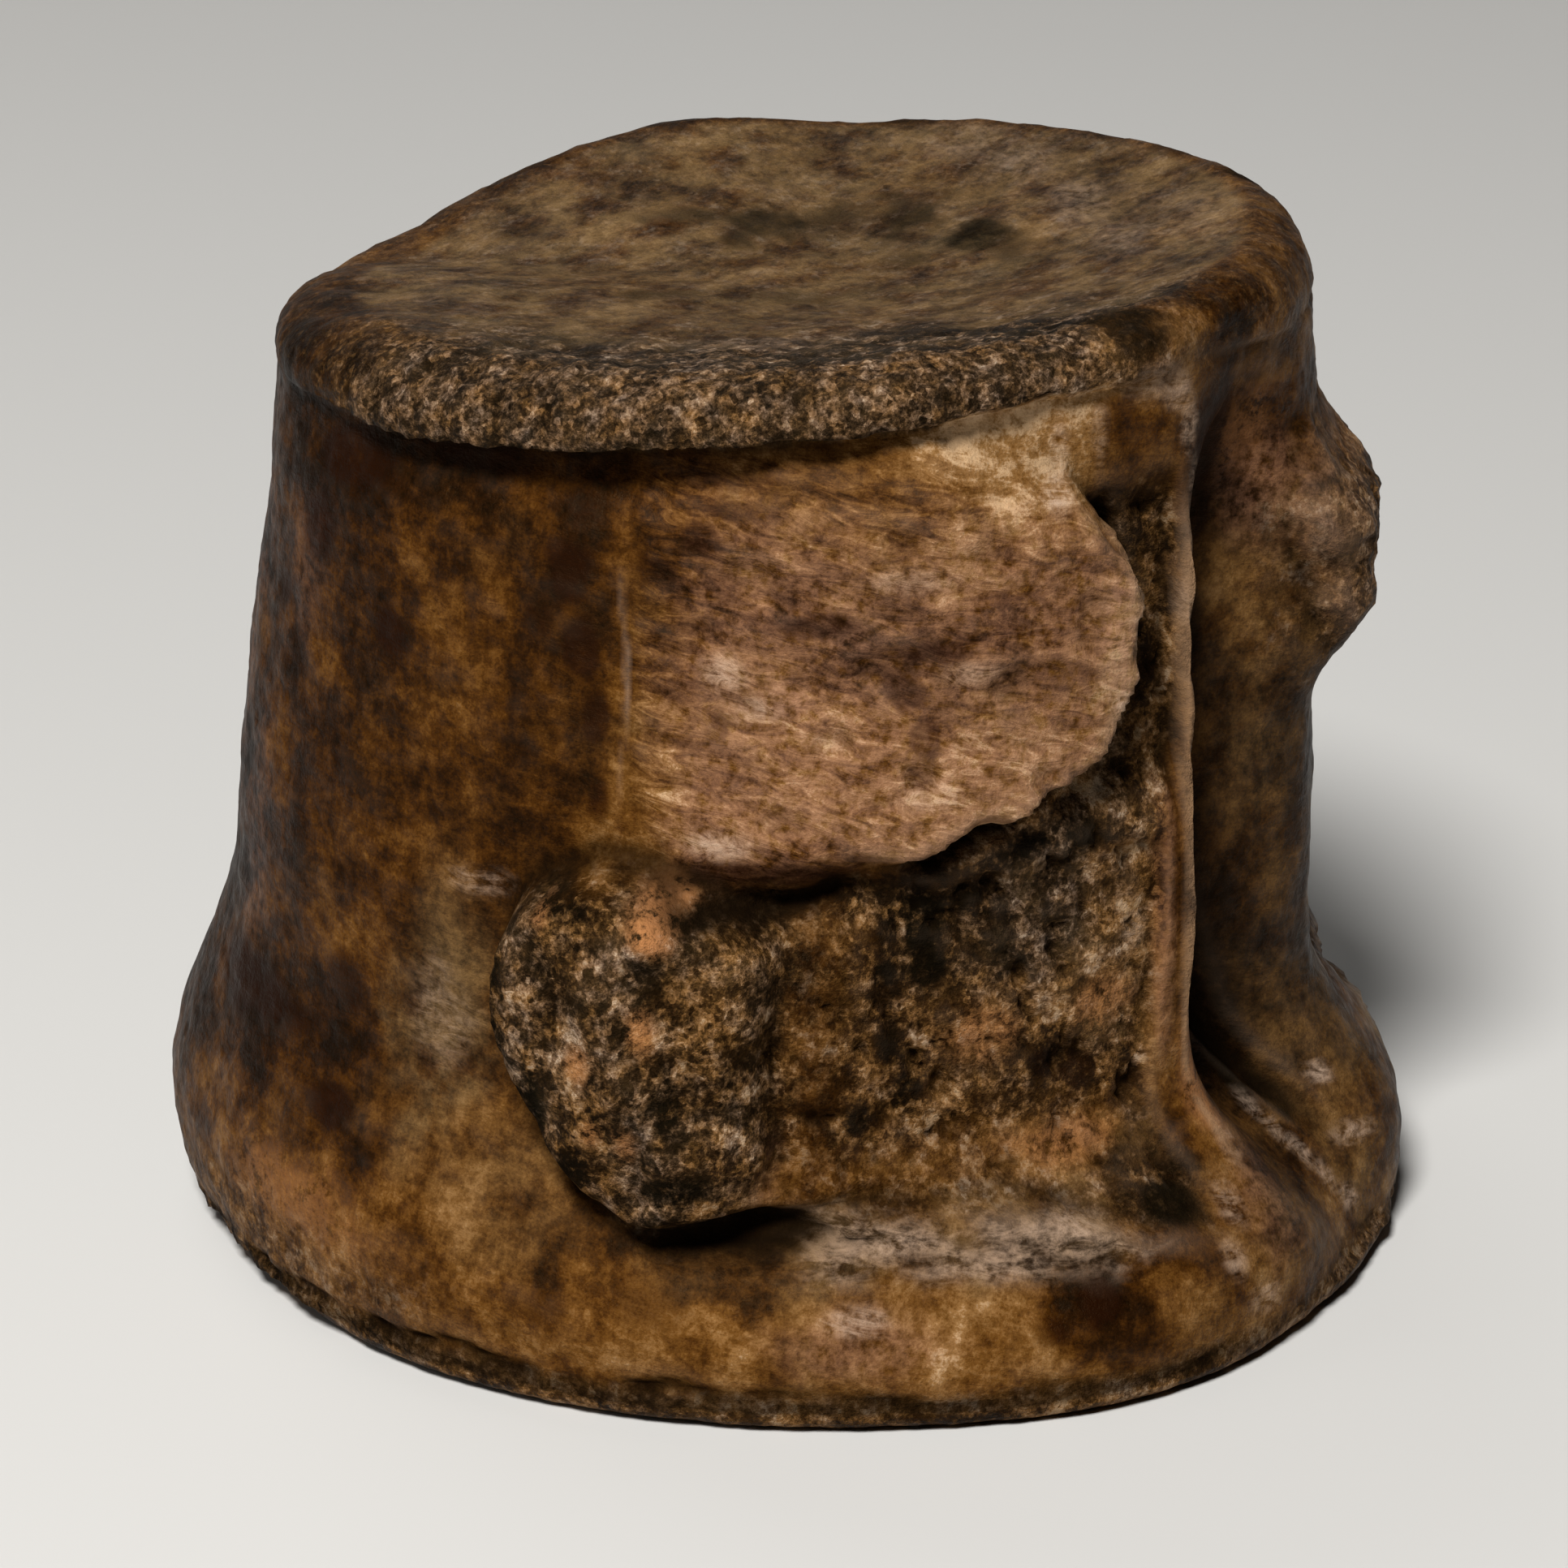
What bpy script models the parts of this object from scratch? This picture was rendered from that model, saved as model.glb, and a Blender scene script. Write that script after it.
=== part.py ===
"""Fossil champsosaurus vertebra: one centrum without its neural arch.

The drum of bone stands on its wider end face. +Z runs up along the backbone's
line, the origin is the middle of the face that it rests on, and the back of the
animal, with the groove of the spinal canal, faces -Y.

A profile is spun into a turned blank, and each of its points is then set by the
shape of the bone at that angle and height. Lengths below are in millimetres and
angles in degrees: an angle is counted from the middle of the back, and grows
towards -X.
"""

import math

import bmesh
import bpy
from mathutils import Vector, noise

MM = 0.001

# The mesh
COLUMNS = 112
CROWDING = 0.4  # draws the columns together on the back of the animal, where the detail is
FLANK_RINGS = 29
SHARP_ANGLE = 50

# Values that change round the bone: mean, how much fuller towards the belly side, how far out of round
BELLY_SIDE = 150
BROAD_SIDE = 145
WAIST_RADIUS = (13.15, 0.6, 0.35)
NECK_RADIUS = (12.25, 0.15, 0.45)
NECK_RUN = (9, 21.5)  # heights between which the waist turns into the neck
FLARE_TOP = (7.6, 1.2, 1.0)
BASE_LIP_HEIGHT = (2.0, 0.4, 0.6)
TOP_LIP_RADIUS = (12.5, 0.2, 0.05)

# The resting end: radius and height over the dish, then distance inward of the foot's edge and height
FOOT_DISH = [(0, 1.5), (5, 1.2), (8.5, 0.52), (10.8, 0)]
FOOT_EDGE = [(0.7, 0), (0, 0.25), (-0.3, 0.6)]
# Angle, radius of the foot's edge, and radius of the widest line above it
FOOT_OUTLINE = [(-180, 14.9, 15.5), (-125, 14.8, 15.2), (-60, 14.8, 15.1), (-34, 14.9, 15.2), (-16, 15.0, 15.35),
                (2, 15.2, 15.5), (14, 15.7, 15.8), (28, 15.9, 16.0), (38, 15.5, 15.7), (56, 15.2, 15.4),
                (80, 15.0, 15.25), (96, 14.95, 15.2), (115, 14.5, 15.15), (130, 14.4, 15.4), (145, 14.9, 16.0),
                (180, 14.9, 15.5)]

# The upper end: the crest leans, is worn low in two places, and stands high in one
CREST_RADIUS = 10.9
CREST_HEIGHT = 24.65
CREST_TILT = (0.75, -35)  # rise, and the angle of its highest side
CREST_BACK = (0.25, -125)
CREST_DIPS = [(170, 34, 1.1), (138, 22, 0.28), (-140, 24, -0.35)]  # angle, half width, depth
# Angle, height of the lip's lower edge, and how far it overhangs
UNDER_LIP = [(-180, 22.4, 0.25), (-125, 23.0, 0.3), (-60, 23.5, 0.25), (0, 23.8, 0.05), (18, 23.9, 0.05),
             (40, 23.5, 0.15), (55, 23.2, 0.35), (67, 22.9, 0.6), (78, 22.65, 0.75), (98, 22.4, 0.75),
             (118, 22.3, 0.35), (140, 22.15, 0.1), (180, 22.4, 0.25)]
LIP_GAP = 0.35  # from the last ring of the flank to the lip's lower edge
LIP_PROFILE = [(0.1, 0), (0, 0.25), (0.35, 0.62), (0.9, 0.9)]  # inward, share of the way up to the crest
DISH_DEPTH = 1.25
DISH_POWER = 1.7
DISH_RADII = [10.9, 9.6, 7.2, 4.2, 0]

# The spinal canal: height, middle and half width. It fades out towards both ends.
CANAL_COURSE = [(0, -12, 17), (3, -10, 15), (6, -3, 12), (9, 1.5, 7.8), (15, 2.4, 6.9), (19, 2.2, 7.2), (25, 0, 14)]
CANAL_DEPTH = 1.9
CANAL_END_SHARE = 0.25
CANAL_FOOT_RUN = (0.2, 5)
CANAL_TOP_RUN = (20, 24.2)
RIDGE_HEIGHT = 0.35
RIDGE_ACROSS = (1.12, 0.4)
RIDGE_FOOT_RUN = (4, 7)
RIDGE_TOP_RUN = (20, 22)
NOTCH_HEIGHT = 22.5  # the canal's depth here also notches the upper lip

# The worn plate on the upper half of each side: angle and height of its lower edge, height and angle of its end
PLATE_FOOT = [(14, 19.0), (17, 17.0), (23, 14.9), (30, 14.1), (44, 13.3), (57, 12.6), (66, 12.6), (73, 13.8)]
PLATE_END = [(13.0, 40), (14.9, 23), (16.4, 18), (18.8, 16), (20.6, 20), (22.4, 27)]
PLATE_CREASE = 73
PLATE_TOP_RUN = (21.8, 23.2)
PLATE_FADING = (30, 0.85)  # from this angle, by this share at the crease
END_SLOPE = 1.5  # half width in degrees of the cliff at the plate's end
FOOT_SLOPE = 0.5  # half height of the cliff at its foot
NEAR_PLATE_HEIGHT = 0.95
FAR_PLATE_HEIGHT = 0.5
SLOT_DEPTH = 0.5
SLOT_PLACE = (-0.6, 0.9)  # below the plate's foot, and half its height
SLOT_RUN = (12, 18, 40, 48)
RECESS_DEPTH = 0.45
RECESS_PLACE = (-4, 5)  # beyond the plate's end, and half its width
RECESS_HEIGHTS = (17, 5)

# The rough lump on the far side
SWELLING_HEIGHT = 1.5
SWELLING_MIDDLE = 17.4
SWELLING_SLOPE = (1.1, 3.9)
SWELLING_RUN = (11, 26, 46, 70)

# The rib's knob on each side
KNOB_ANGLE = 71.5
KNOB_HEIGHT = 9.0
KNOB_HALF_ANGLE = 14.5
KNOB_HALF_HEIGHT = 4.2
KNOB_TAPER = 0.18  # narrower below than above
KNOB_RADIUS = 15.25
KNOB_LEAN = 0.7  # lower towards the seat
KNOB_DOME = 0.7
KNOB_EDGE = (0.84, 1.06)
KNOB_LUMPS = 0.2

# The rough seat of the arch, below the plate
SEAT_DEPTH = 0.35
SEAT_RUN = (8, 14, 54, 64)
SEAT_HEIGHTS = (3.7, 4.8, 11.8, 13.0)
SEAT_PITS = 0.35

# Lumps of the worn surface: height, size, and a number that sets their pattern apart
FOOT_LUMPS = (0.15, 3, 1)
BASE_LUMPS = (0.15, 4, 2)
FLANK_LUMPS = (0.12, 3.5, 3)
LIP_LUMPS = (0.15, 1.5, 7)
TOP_LUMPS = (0.12, 2.5, 8)
NEAR_SEED = 5
FAR_SEED = 9

BONE_COLOUR = (0.19, 0.095, 0.036, 1)
BONE_ROUGHNESS = 0.55


def ease(low, high, value):
    """0 below low, 1 above high, and a smooth rise between."""
    part = min(max((value - low) / (high - low), 0), 1)
    return part * part * (3 - 2 * part)


def hump(value, middle, half_width):
    """1 at the middle, falling smoothly to 0 at half_width to either side."""
    return 1 - ease(0, half_width, abs(value - middle))


def between(run, value):
    """A smooth rise over the first two values of the run, and a smooth fall over its last two."""
    return ease(run[0], run[1], value) * (1 - ease(run[2], run[3], value))


def follow(points, value, column=1):
    """Reads a column of a list of hand-set points, in a straight line from each point to the next."""
    if value <= points[0][0]:
        return points[0][column]
    for before, after in zip(points, points[1:]):
        if value <= after[0]:
            part = (value - before[0]) / (after[0] - before[0])
            return before[column] + (after[column] - before[column]) * part
    return points[-1][column]


def wave(angle, middle, times=1):
    return math.cos(math.radians(times * (angle - middle)))


def turned(angle, values):
    """A radius or height that changes round the bone: fuller towards the belly side, and out of round."""
    mean, towards_belly, across = values
    return mean + towards_belly * wave(angle, BELLY_SIDE) + across * wave(angle, BROAD_SIDE, 2)


def grain(angle, radius, height, size, seed):
    """Smooth noise between about -1 and 1 with lumps of the given size."""
    around = math.radians(angle)
    place = Vector((radius * math.sin(around), radius * math.cos(around), height))
    return noise.noise(place / size + Vector((seed, 2.3 * seed, 0.7 * seed)))


def lumps(angle, radius, height, values):
    tall, size, seed = values
    return tall * grain(angle, radius, height, size, seed)


def foot_radius(angle):
    return follow(FOOT_OUTLINE, angle) + lumps(angle, 14, 0, FOOT_LUMPS)


def base_lip(angle):
    """Radius and height of the widest line round the lower end."""
    radius = follow(FOOT_OUTLINE, angle, 2) + lumps(angle, 15, 2, BASE_LUMPS)
    return radius, turned(angle, BASE_LIP_HEIGHT)


def crest_height(angle):
    rise, high_side = CREST_TILT
    back_rise, back_side = CREST_BACK
    height = CREST_HEIGHT + rise * wave(angle, high_side) + back_rise * wave(angle, back_side)
    for middle, half_width, depth in CREST_DIPS:
        away = (angle - middle + 180) % 360 - 180
        height -= depth * hump(away, 0, half_width)
    return height


def canal(angle, height):
    """How deep the canal is here, with the thin ridge along each edge."""
    across = abs(angle - follow(CANAL_COURSE, height, 1)) / follow(CANAL_COURSE, height, 2)
    fading = ease(*CANAL_FOOT_RUN, height) * (1 - ease(*CANAL_TOP_RUN, height))
    fading = CANAL_END_SHARE + (1 - CANAL_END_SHARE) * fading
    groove = CANAL_DEPTH * fading * (1 - ease(0.15, 1.0, across))
    ridge = RIDGE_HEIGHT * hump(across, *RIDGE_ACROSS) * between(RIDGE_FOOT_RUN + RIDGE_TOP_RUN, height)
    return ridge - groove


def plate(side_angle, height, proud):
    """The smooth plate: a broken cliff at its end and foot, fading to nothing at its crease and top."""
    end = side_angle - follow(PLATE_END, height)
    foot = height - follow(PLATE_FOOT, side_angle)
    inside = ease(-END_SLOPE, END_SLOPE, end) * ease(-FOOT_SLOPE, FOOT_SLOPE, foot)
    fading_from, fading_share = PLATE_FADING
    fading = 1 - fading_share * ease(fading_from, PLATE_CREASE, side_angle) ** 1.5
    raised = proud * inside * fading * (1 - ease(PLATE_CREASE - 2, PLATE_CREASE + 1, side_angle))
    slot = SLOT_DEPTH * hump(foot, *SLOT_PLACE) * between(SLOT_RUN, side_angle)
    recess = RECESS_DEPTH * hump(end, *RECESS_PLACE) * hump(height, *RECESS_HEIGHTS)
    return raised * (1 - ease(*PLATE_TOP_RUN, height)) - slot - recess


def far_swelling(side_angle, height):
    """The lump of rough bone that takes the far plate's place."""
    slope = 1 - ease(*SWELLING_SLOPE, abs(height - SWELLING_MIDDLE))
    return SWELLING_HEIGHT * between(SWELLING_RUN, side_angle) * slope


def knob(side_angle, height, plain, seed):
    """The rib's knob, above the plain surface: steep where it stands free, running out into the seat beside it."""
    across = (side_angle - KNOB_ANGLE) / KNOB_HALF_ANGLE
    along = (height - KNOB_HEIGHT) / KNOB_HALF_HEIGHT
    away = math.hypot(across * (1 - KNOB_TAPER * along), along)
    crown = KNOB_RADIUS - KNOB_LEAN * max(-across, 0) - KNOB_DOME * away**3
    crown += KNOB_LUMPS * grain(side_angle, 14, height, 1.6, seed)
    return (1 - ease(*KNOB_EDGE, away)) * max(crown - plain, 0)


def seat(side_angle, height, seed):
    """The rough, slightly sunk face that carried the arch, with pits."""
    pits = SEAT_PITS * max(grain(side_angle, 13, height, 1.3, seed), 0)
    return -between(SEAT_RUN, side_angle) * between(SEAT_HEIGHTS, height) * (SEAT_DEPTH + pits)


def relief(angle, height, plain):
    """Everything that stands out of the plain flank, or is sunk in it."""
    if angle >= 0:
        side_angle, seed = angle, NEAR_SEED
        upper = plate(side_angle, height, NEAR_PLATE_HEIGHT)
    else:
        side_angle, seed = 2 - angle, FAR_SEED
        upper = plate(side_angle, height, FAR_PLATE_HEIGHT) * (1 - ease(18, 26, side_angle))
        upper += far_swelling(side_angle, height)
    lower = knob(side_angle, height, plain, seed) + seat(side_angle, height, seed)
    return upper + lower + canal(angle, height) + lumps(angle, 13, height, FLANK_LUMPS)


def flank_radius(angle, height):
    """The drum without its relief: flared below, drawn in to a waist, and straight up to the neck."""
    waist = turned(angle, WAIST_RADIUS)
    drawn_in = waist + (turned(angle, NECK_RADIUS) - waist) * ease(*NECK_RUN, height)
    lip_radius, lip_height = base_lip(angle)
    flare_top = turned(angle, FLARE_TOP)
    flare = ease(0, 1, (flare_top - height) / (flare_top - lip_height))
    return drawn_in + (lip_radius - drawn_in) * flare


def foot_ring(angle, inward, height):
    return foot_radius(angle) - inward, height


def flank_ring(angle, part):
    """A ring of the flank, part of the way from the base lip to the groove under the upper lip."""
    low = base_lip(angle)[1]
    height = low + (follow(UNDER_LIP, angle) - LIP_GAP - low) * part
    plain = flank_radius(angle, height)
    radius = plain + relief(angle, height, plain) * ease(0, 0.12, part)
    return radius - follow(UNDER_LIP, angle, 2) * ease(0.93, 1, part), height


def upper_ring(angle, inward, share):
    """A ring of the upper lip: inward from its widest line, share of the way from its edge to the crest."""
    lip_height = follow(UNDER_LIP, angle)
    radius = turned(angle, TOP_LIP_RADIUS) - inward
    height = lip_height + (crest_height(angle) - lip_height) * share
    notch = canal(angle, NOTCH_HEIGHT) * (1 - share)
    rough = lumps(angle, radius, height, LIP_LUMPS)
    return radius + notch + rough, height + rough * share


def top_ring(angle, radius):
    """A ring of the dished upper face, inside the crest."""
    floor = CREST_HEIGHT - DISH_DEPTH
    height = floor + (crest_height(angle) - floor) * (radius / CREST_RADIUS) ** DISH_POWER
    return radius, height + lumps(angle, radius, height, TOP_LUMPS)


def rings():
    """One function of the angle for each ring, from the middle of the foot to the middle of the top."""
    made = []
    for radius, height in FOOT_DISH:
        made.append(lambda angle, radius=radius, height=height: (radius, height))
    for inward, height in FOOT_EDGE:
        made.append(lambda angle, inward=inward, height=height: foot_ring(angle, inward, height))
    for step in range(FLANK_RINGS):
        made.append(lambda angle, part=step / (FLANK_RINGS - 1): flank_ring(angle, part))
    for inward, share in LIP_PROFILE:
        made.append(lambda angle, inward=inward, share=share: upper_ring(angle, inward, share))
    for radius in DISH_RADII:
        made.append(lambda angle, radius=radius: top_ring(angle, radius))
    return made


def spun_blank(made):
    """A profile of one point for each ring, spun once round Z. Each point keeps its ring's number."""
    blank = bmesh.new()
    ring_of = blank.verts.layers.int.new("ring")
    last = len(made) - 1
    profile = []
    for number, ring in enumerate(made):
        point = blank.verts.new((0 if number in (0, last) else 10, 0, number))
        point[ring_of] = number
        profile.append(point)
    for lower, upper in zip(profile, profile[1:]):
        blank.edges.new((lower, upper))
    bmesh.ops.spin(blank, geom=blank.verts[:] + blank.edges[:], cent=(0, 0, 0), axis=(0, 0, 1),
                   angle=2 * math.pi, steps=COLUMNS, use_merge=True, use_duplicate=False)
    bmesh.ops.remove_doubles(blank, verts=blank.verts[:], dist=1e-4)
    return blank, ring_of


def shape_bone(blank, ring_of, made):
    """Moves each point of the blank to where the bone's surface is."""
    for point in blank.verts:
        even = math.degrees(math.atan2(-point.co.x, -point.co.y))
        angle = even - math.degrees(CROWDING * math.sin(math.radians(even)))
        radius, height = made[point[ring_of]](angle)
        around = math.radians(angle)
        point.co = Vector((-radius * math.sin(around), -radius * math.cos(around), height)) * MM


def bone_material():
    material = bpy.data.materials.new("fossil bone")
    material.use_nodes = True
    surface = material.node_tree.nodes["Principled BSDF"]
    surface.inputs["Base Color"].default_value = BONE_COLOUR
    surface.inputs["Roughness"].default_value = BONE_ROUGHNESS
    surface.inputs["Metallic"].default_value = 0
    return material


def make_centrum():
    made = rings()
    blank, ring_of = spun_blank(made)
    shape_bone(blank, ring_of, made)
    bmesh.ops.recalc_face_normals(blank, faces=blank.faces[:])
    bmesh.ops.triangulate(blank, faces=blank.faces[:], quad_method="SHORT_EDGE")
    mesh = bpy.data.meshes.new("centrum")
    blank.to_mesh(mesh)
    blank.free()
    mesh.shade_smooth()
    mesh.set_sharp_from_angle(angle=math.radians(SHARP_ANGLE))
    mesh.materials.append(bone_material())
    centrum = bpy.data.objects.new("centrum", mesh)
    bpy.context.scene.collection.objects.link(centrum)
    return centrum


for leftover in list(bpy.data.objects):
    bpy.data.objects.remove(leftover, do_unlink=True)
make_centrum()
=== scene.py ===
import math

import bpy
import numpy as np
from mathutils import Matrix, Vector


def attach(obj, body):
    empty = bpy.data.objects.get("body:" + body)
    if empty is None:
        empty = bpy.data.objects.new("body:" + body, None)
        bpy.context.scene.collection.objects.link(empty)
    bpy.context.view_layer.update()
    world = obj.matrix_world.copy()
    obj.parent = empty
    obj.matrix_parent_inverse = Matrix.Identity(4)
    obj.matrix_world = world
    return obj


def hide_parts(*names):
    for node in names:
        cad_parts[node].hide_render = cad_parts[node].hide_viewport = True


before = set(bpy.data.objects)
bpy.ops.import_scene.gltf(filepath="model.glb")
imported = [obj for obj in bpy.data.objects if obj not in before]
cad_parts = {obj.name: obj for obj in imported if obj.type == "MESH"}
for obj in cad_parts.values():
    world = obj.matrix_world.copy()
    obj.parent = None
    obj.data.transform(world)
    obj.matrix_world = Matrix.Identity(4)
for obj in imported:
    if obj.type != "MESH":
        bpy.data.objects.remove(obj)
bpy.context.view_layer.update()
print("packed model loaded")

# Lengths are in millimetres and angles in degrees up to the point where the mesh is made.
# An angle is counted from the middle of the animal's back, which faces -Y, and grows towards -X.
millimetre = 0.001


# Floor, light and camera, in metres, with the sensor in millimetres. The camera's side also places the marks
# on the upper face.

studio = dict(
    floorHalf=0.6, floorBack=0.35, riseHeight=0.45, riseRadius=0.18,
    floorColour=(188, 186, 182), floorRoughness=0.8,
    azimuth=-55, elevation=19.5, distance=0.147, aimAside=-0.0004, aimHeight=0.0106,
    focalPixels=7242, picturePixels=1932, sensor=36.0,
    lampAim=0.012,
    # name, degrees to the camera's right, degrees up, distance, size, watts
    lamps=[("key", -15, 50, 0.42, 0.12, 3.1),
           ("fill", -70, 25, 0.5, 0.3, 0.22),
           ("back", -150, 50, 0.5, 0.3, 0.4)],
    world=0.09,
)


# Tools for whole arrays

# 0 at low, 1 at high, smooth between: three times the square of the share, less twice its cube.
def ease(low, high, value):
    part = np.clip((value - low) / (high - low), 0, 1)
    return part * part * (3 - 2 * part)


# 1 at the middle, smoothly down to 0 at halfWidth on either side.
def hump(value, middle, halfWidth):
    return 1 - ease(0, halfWidth, np.abs(value - middle))


# 0 outside the outer two of four limits and 1 between the inner two: an ease in, times an ease out.
def within(value, limits):
    start, full, ending, end = limits
    return ease(start, full, value) * (1 - ease(ending, end, value))


# The shorter way round from one angle to another, -180 to 180.
def turnFrom(angle, middle):
    return (angle - middle + 180) % 360 - 180


# A line through given points, with rounded corners: the mean of seven readings spread over the width.
def course(points, value, width=0.0, column=1, period=None):
    at = [point[0] for point in points]
    heights = [point[column] for point in points]
    shifts = np.linspace(-width, width, 7) if width else [0.0]
    return sum(np.interp(value + shift, at, heights, period=period) for shift in shifts) / len(shifts)


# A mean, plus a cosine once round the bone that peaks near the belly, plus one that goes twice round.
def turned(angle, mean, towardsBelly, across):
    return (mean + towardsBelly * np.cos(np.radians(angle - 150))
            + across * np.cos(np.radians(2 * (angle - 145))))


# Whole-number cell positions scrambled to numbers from 0 to 1, alike on every run.
def scramble(cell, seed):
    mixed = cell[..., 0] * 374761393 + cell[..., 1] * 668265263 + cell[..., 2] * 1440662683 + seed * 974634777
    mixed = mixed & 0xFFFFFFFF
    mixed = ((mixed ^ (mixed >> 13)) * 1274126177) & 0xFFFFFFFF
    mixed = ((mixed ^ (mixed >> 16)) * 2246822519) & 0xFFFFFFFF
    return ((mixed ^ (mixed >> 15)) & 0xFFFFFF) / 0xFFFFFF


# Lattice noise, about -1 to 1: each corner of the cell has a random slope, and the eight are blended.
def waver(place, size, seed):
    scaled = place / size + 1000
    corner = np.floor(scaled).astype(np.int64)
    inside = scaled - corner
    blend = inside ** 3 * (inside * (inside * 6 - 15) + 10)
    total = 0
    for step in np.ndindex(2, 2, 2):
        cell = corner + np.array(step)
        slope = np.stack([scramble(cell, seed * 3 + axis) for axis in range(3)], -1) * 2 - 1
        reach = np.sum(slope * (inside - np.array(step)), -1)
        weight = np.prod(np.where(np.array(step) == 1, blend, 1 - blend), -1)
        total = total + reach * weight
    return total * 1.6


# Lattice noise added up over sizes that halve, each layer weaker than the last by the gain.
def crumple(place, size, seed, layers=4, gain=0.55):
    total, amount, full = 0, 1.0, 0.0
    for layer in range(layers):
        total = total + amount * waver(place, size / 2 ** layer, seed + layer)
        full += amount
        amount *= gain
    return total / full * 1.4


# One random point in each cell of a lattice: the distance to the nearest, in cell sizes, and that point's
# own number from 0 to 1.
def pebbles(place, size, seed):
    scaled = place / size + 1000
    corner = np.floor(scaled).astype(np.int64)
    nearest = np.full(place.shape[:-1], 9.0)
    own = np.zeros(place.shape[:-1])
    for step in np.ndindex(3, 3, 3):
        cell = corner + np.array(step) - 1
        centre = cell + np.stack([scramble(cell, seed * 5 + axis) for axis in range(3)], -1)
        distance = np.linalg.norm(scaled - centre, axis=-1)
        closer = distance < nearest
        nearest = np.where(closer, distance, nearest)
        own = np.where(closer, scramble(cell, seed * 5 + 4), own)
    return nearest, own


# Mean over a square patch of the ring grid; columns wrap round, rings don't.
def softened(field, reach):
    total = sum(np.roll(field, shift, axis=1) for shift in range(-reach, reach + 1)) / (2 * reach + 1)
    padded = np.pad(total, ((reach, reach), (0, 0)), mode="edge")
    return sum(padded[shift:shift + field.shape[0]] for shift in range(2 * reach + 1)) / (2 * reach + 1)


# The bone's plain form

drum = dict(
    columns=460, facing=50, facingWidth=(60, 125), facingWeight=1.7,  # columns crowd where the detail is
    underRings=16, flatRings=4, edgeRings=5, flankRings=130, lipRings=25, topRings=34,
    footDish=1.5, footInner=10.8, footFlat=0.7, edgeHeight=0.42,
    # angle, radius of the foot's edge, radius of the widest line above it
    foot=[(-180, 14.9, 15.5), (-125, 14.8, 15.2), (-60, 14.8, 15.1), (-34, 14.9, 15.2),
          (-16, 15.0, 15.35), (2, 15.2, 15.5), (14, 15.7, 15.8), (28, 15.9, 16.0), (38, 15.5, 15.7),
          (56, 15.2, 15.4), (80, 15.0, 15.25), (96, 14.95, 15.2), (115, 14.5, 15.15), (130, 14.4, 15.4),
          (145, 14.9, 16.0), (180, 14.9, 15.5)],
    # mean, towards the belly, across, as turned takes them
    widestHeight=(2.0, 0.4, 0.6), flareTop=(7.6, 1.2, 1.0),
    waist=(13.15, 0.6, 0.35), neck=(12.25, 0.15, 0.45), lip=(12.5, 0.2, 0.05),
    neckRun=(9, 21.5), lipSweep=(-12, 88),
    crestRadius=10.9, crestHeight=24.65, crestTilt=0.75, crestSway=0.25, dishDepth=1.25,
    crestWear=[(170, 34, -1.1), (138, 22, -0.28), (-140, 24, 0.35)],  # angle, half width, height added
    # angle, height of the upper lip's lower edge, how far it overhangs
    underLip=[(-180, 22.4, 0.25), (-125, 23.0, 0.3), (-60, 23.5, 0.25), (0, 23.8, 0.05), (18, 23.9, 0.0),
              (40, 23.5, 0.1), (55, 23.2, 0.35), (67, 22.9, 0.6), (78, 22.65, 0.8), (98, 22.4, 0.75),
              (118, 22.3, 0.35), (140, 22.15, 0.1), (180, 22.4, 0.25)],
    ovalTurn=6, lipTurn=8,  # degrees over which the corners of the two tables are rounded
)


# Column angles whose spacing is the inverse of a weight that is highest on the side with the detail.
def columnAngles():
    even = np.linspace(-180, 180, 3601)
    crowded = 1 - ease(*drum["facingWidth"], np.abs(turnFrom(even, drum["facing"])))
    weight = 1 + drum["facingWeight"] * crowded
    share = np.concatenate([[0], np.cumsum((weight[1:] + weight[:-1]) / 2)])
    return np.interp(np.arange(drum["columns"]) / drum["columns"] * share[-1], share, even)


# Height of the upper edge: a leaning plane with a small sway, plus a hump for each worn or raised place.
def crestHeight(angle):
    leaning = drum["crestHeight"] + drum["crestTilt"] * np.sin(np.radians(55 - angle))
    leaning += drum["crestSway"] * np.cos(np.radians(angle + 125))
    return leaning + sum(change * hump(turnFrom(angle, middle), 0, halfWidth)
                         for middle, halfWidth, change in drum["crestWear"])


# Radius of the foot's edge and of the widest line above it, from the table.
def footOval(angle):
    return [course(drum["foot"], angle, drum["ovalTurn"], column, 360) for column in (1, 2)]


# Height of the lip's lower edge and its overhang, from the table.
def lipEdge(angle):
    return [course(drum["underLip"], angle, drum["lipTurn"], column, 360) for column in (1, 2)]


# Drum drawn in between the flared foot and the neck: waist eased to neck, plus the flare eased in below.
# Under the widest line the radius falls to the foot's edge along a quarter of an ellipse.
def flankRadius(angle, height):
    drawnIn = turned(angle, *drum["waist"])
    drawnIn = drawnIn + (turned(angle, *drum["neck"]) - drawnIn) * ease(*drum["neckRun"], height)
    foot, widest = footOval(angle)
    widestAt = turned(angle, *drum["widestHeight"])
    flareTop = turned(angle, *drum["flareTop"])
    above = drawnIn + (widest - drawnIn) * ease(0, 1, (flareTop - height) / (flareTop - widestAt))
    fall = np.clip((widestAt - height) / widestAt, 0, 1)
    below = foot + (widest - foot) * np.sqrt(1 - fall ** 2)
    return np.where(height > widestAt, above, below)


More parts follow.
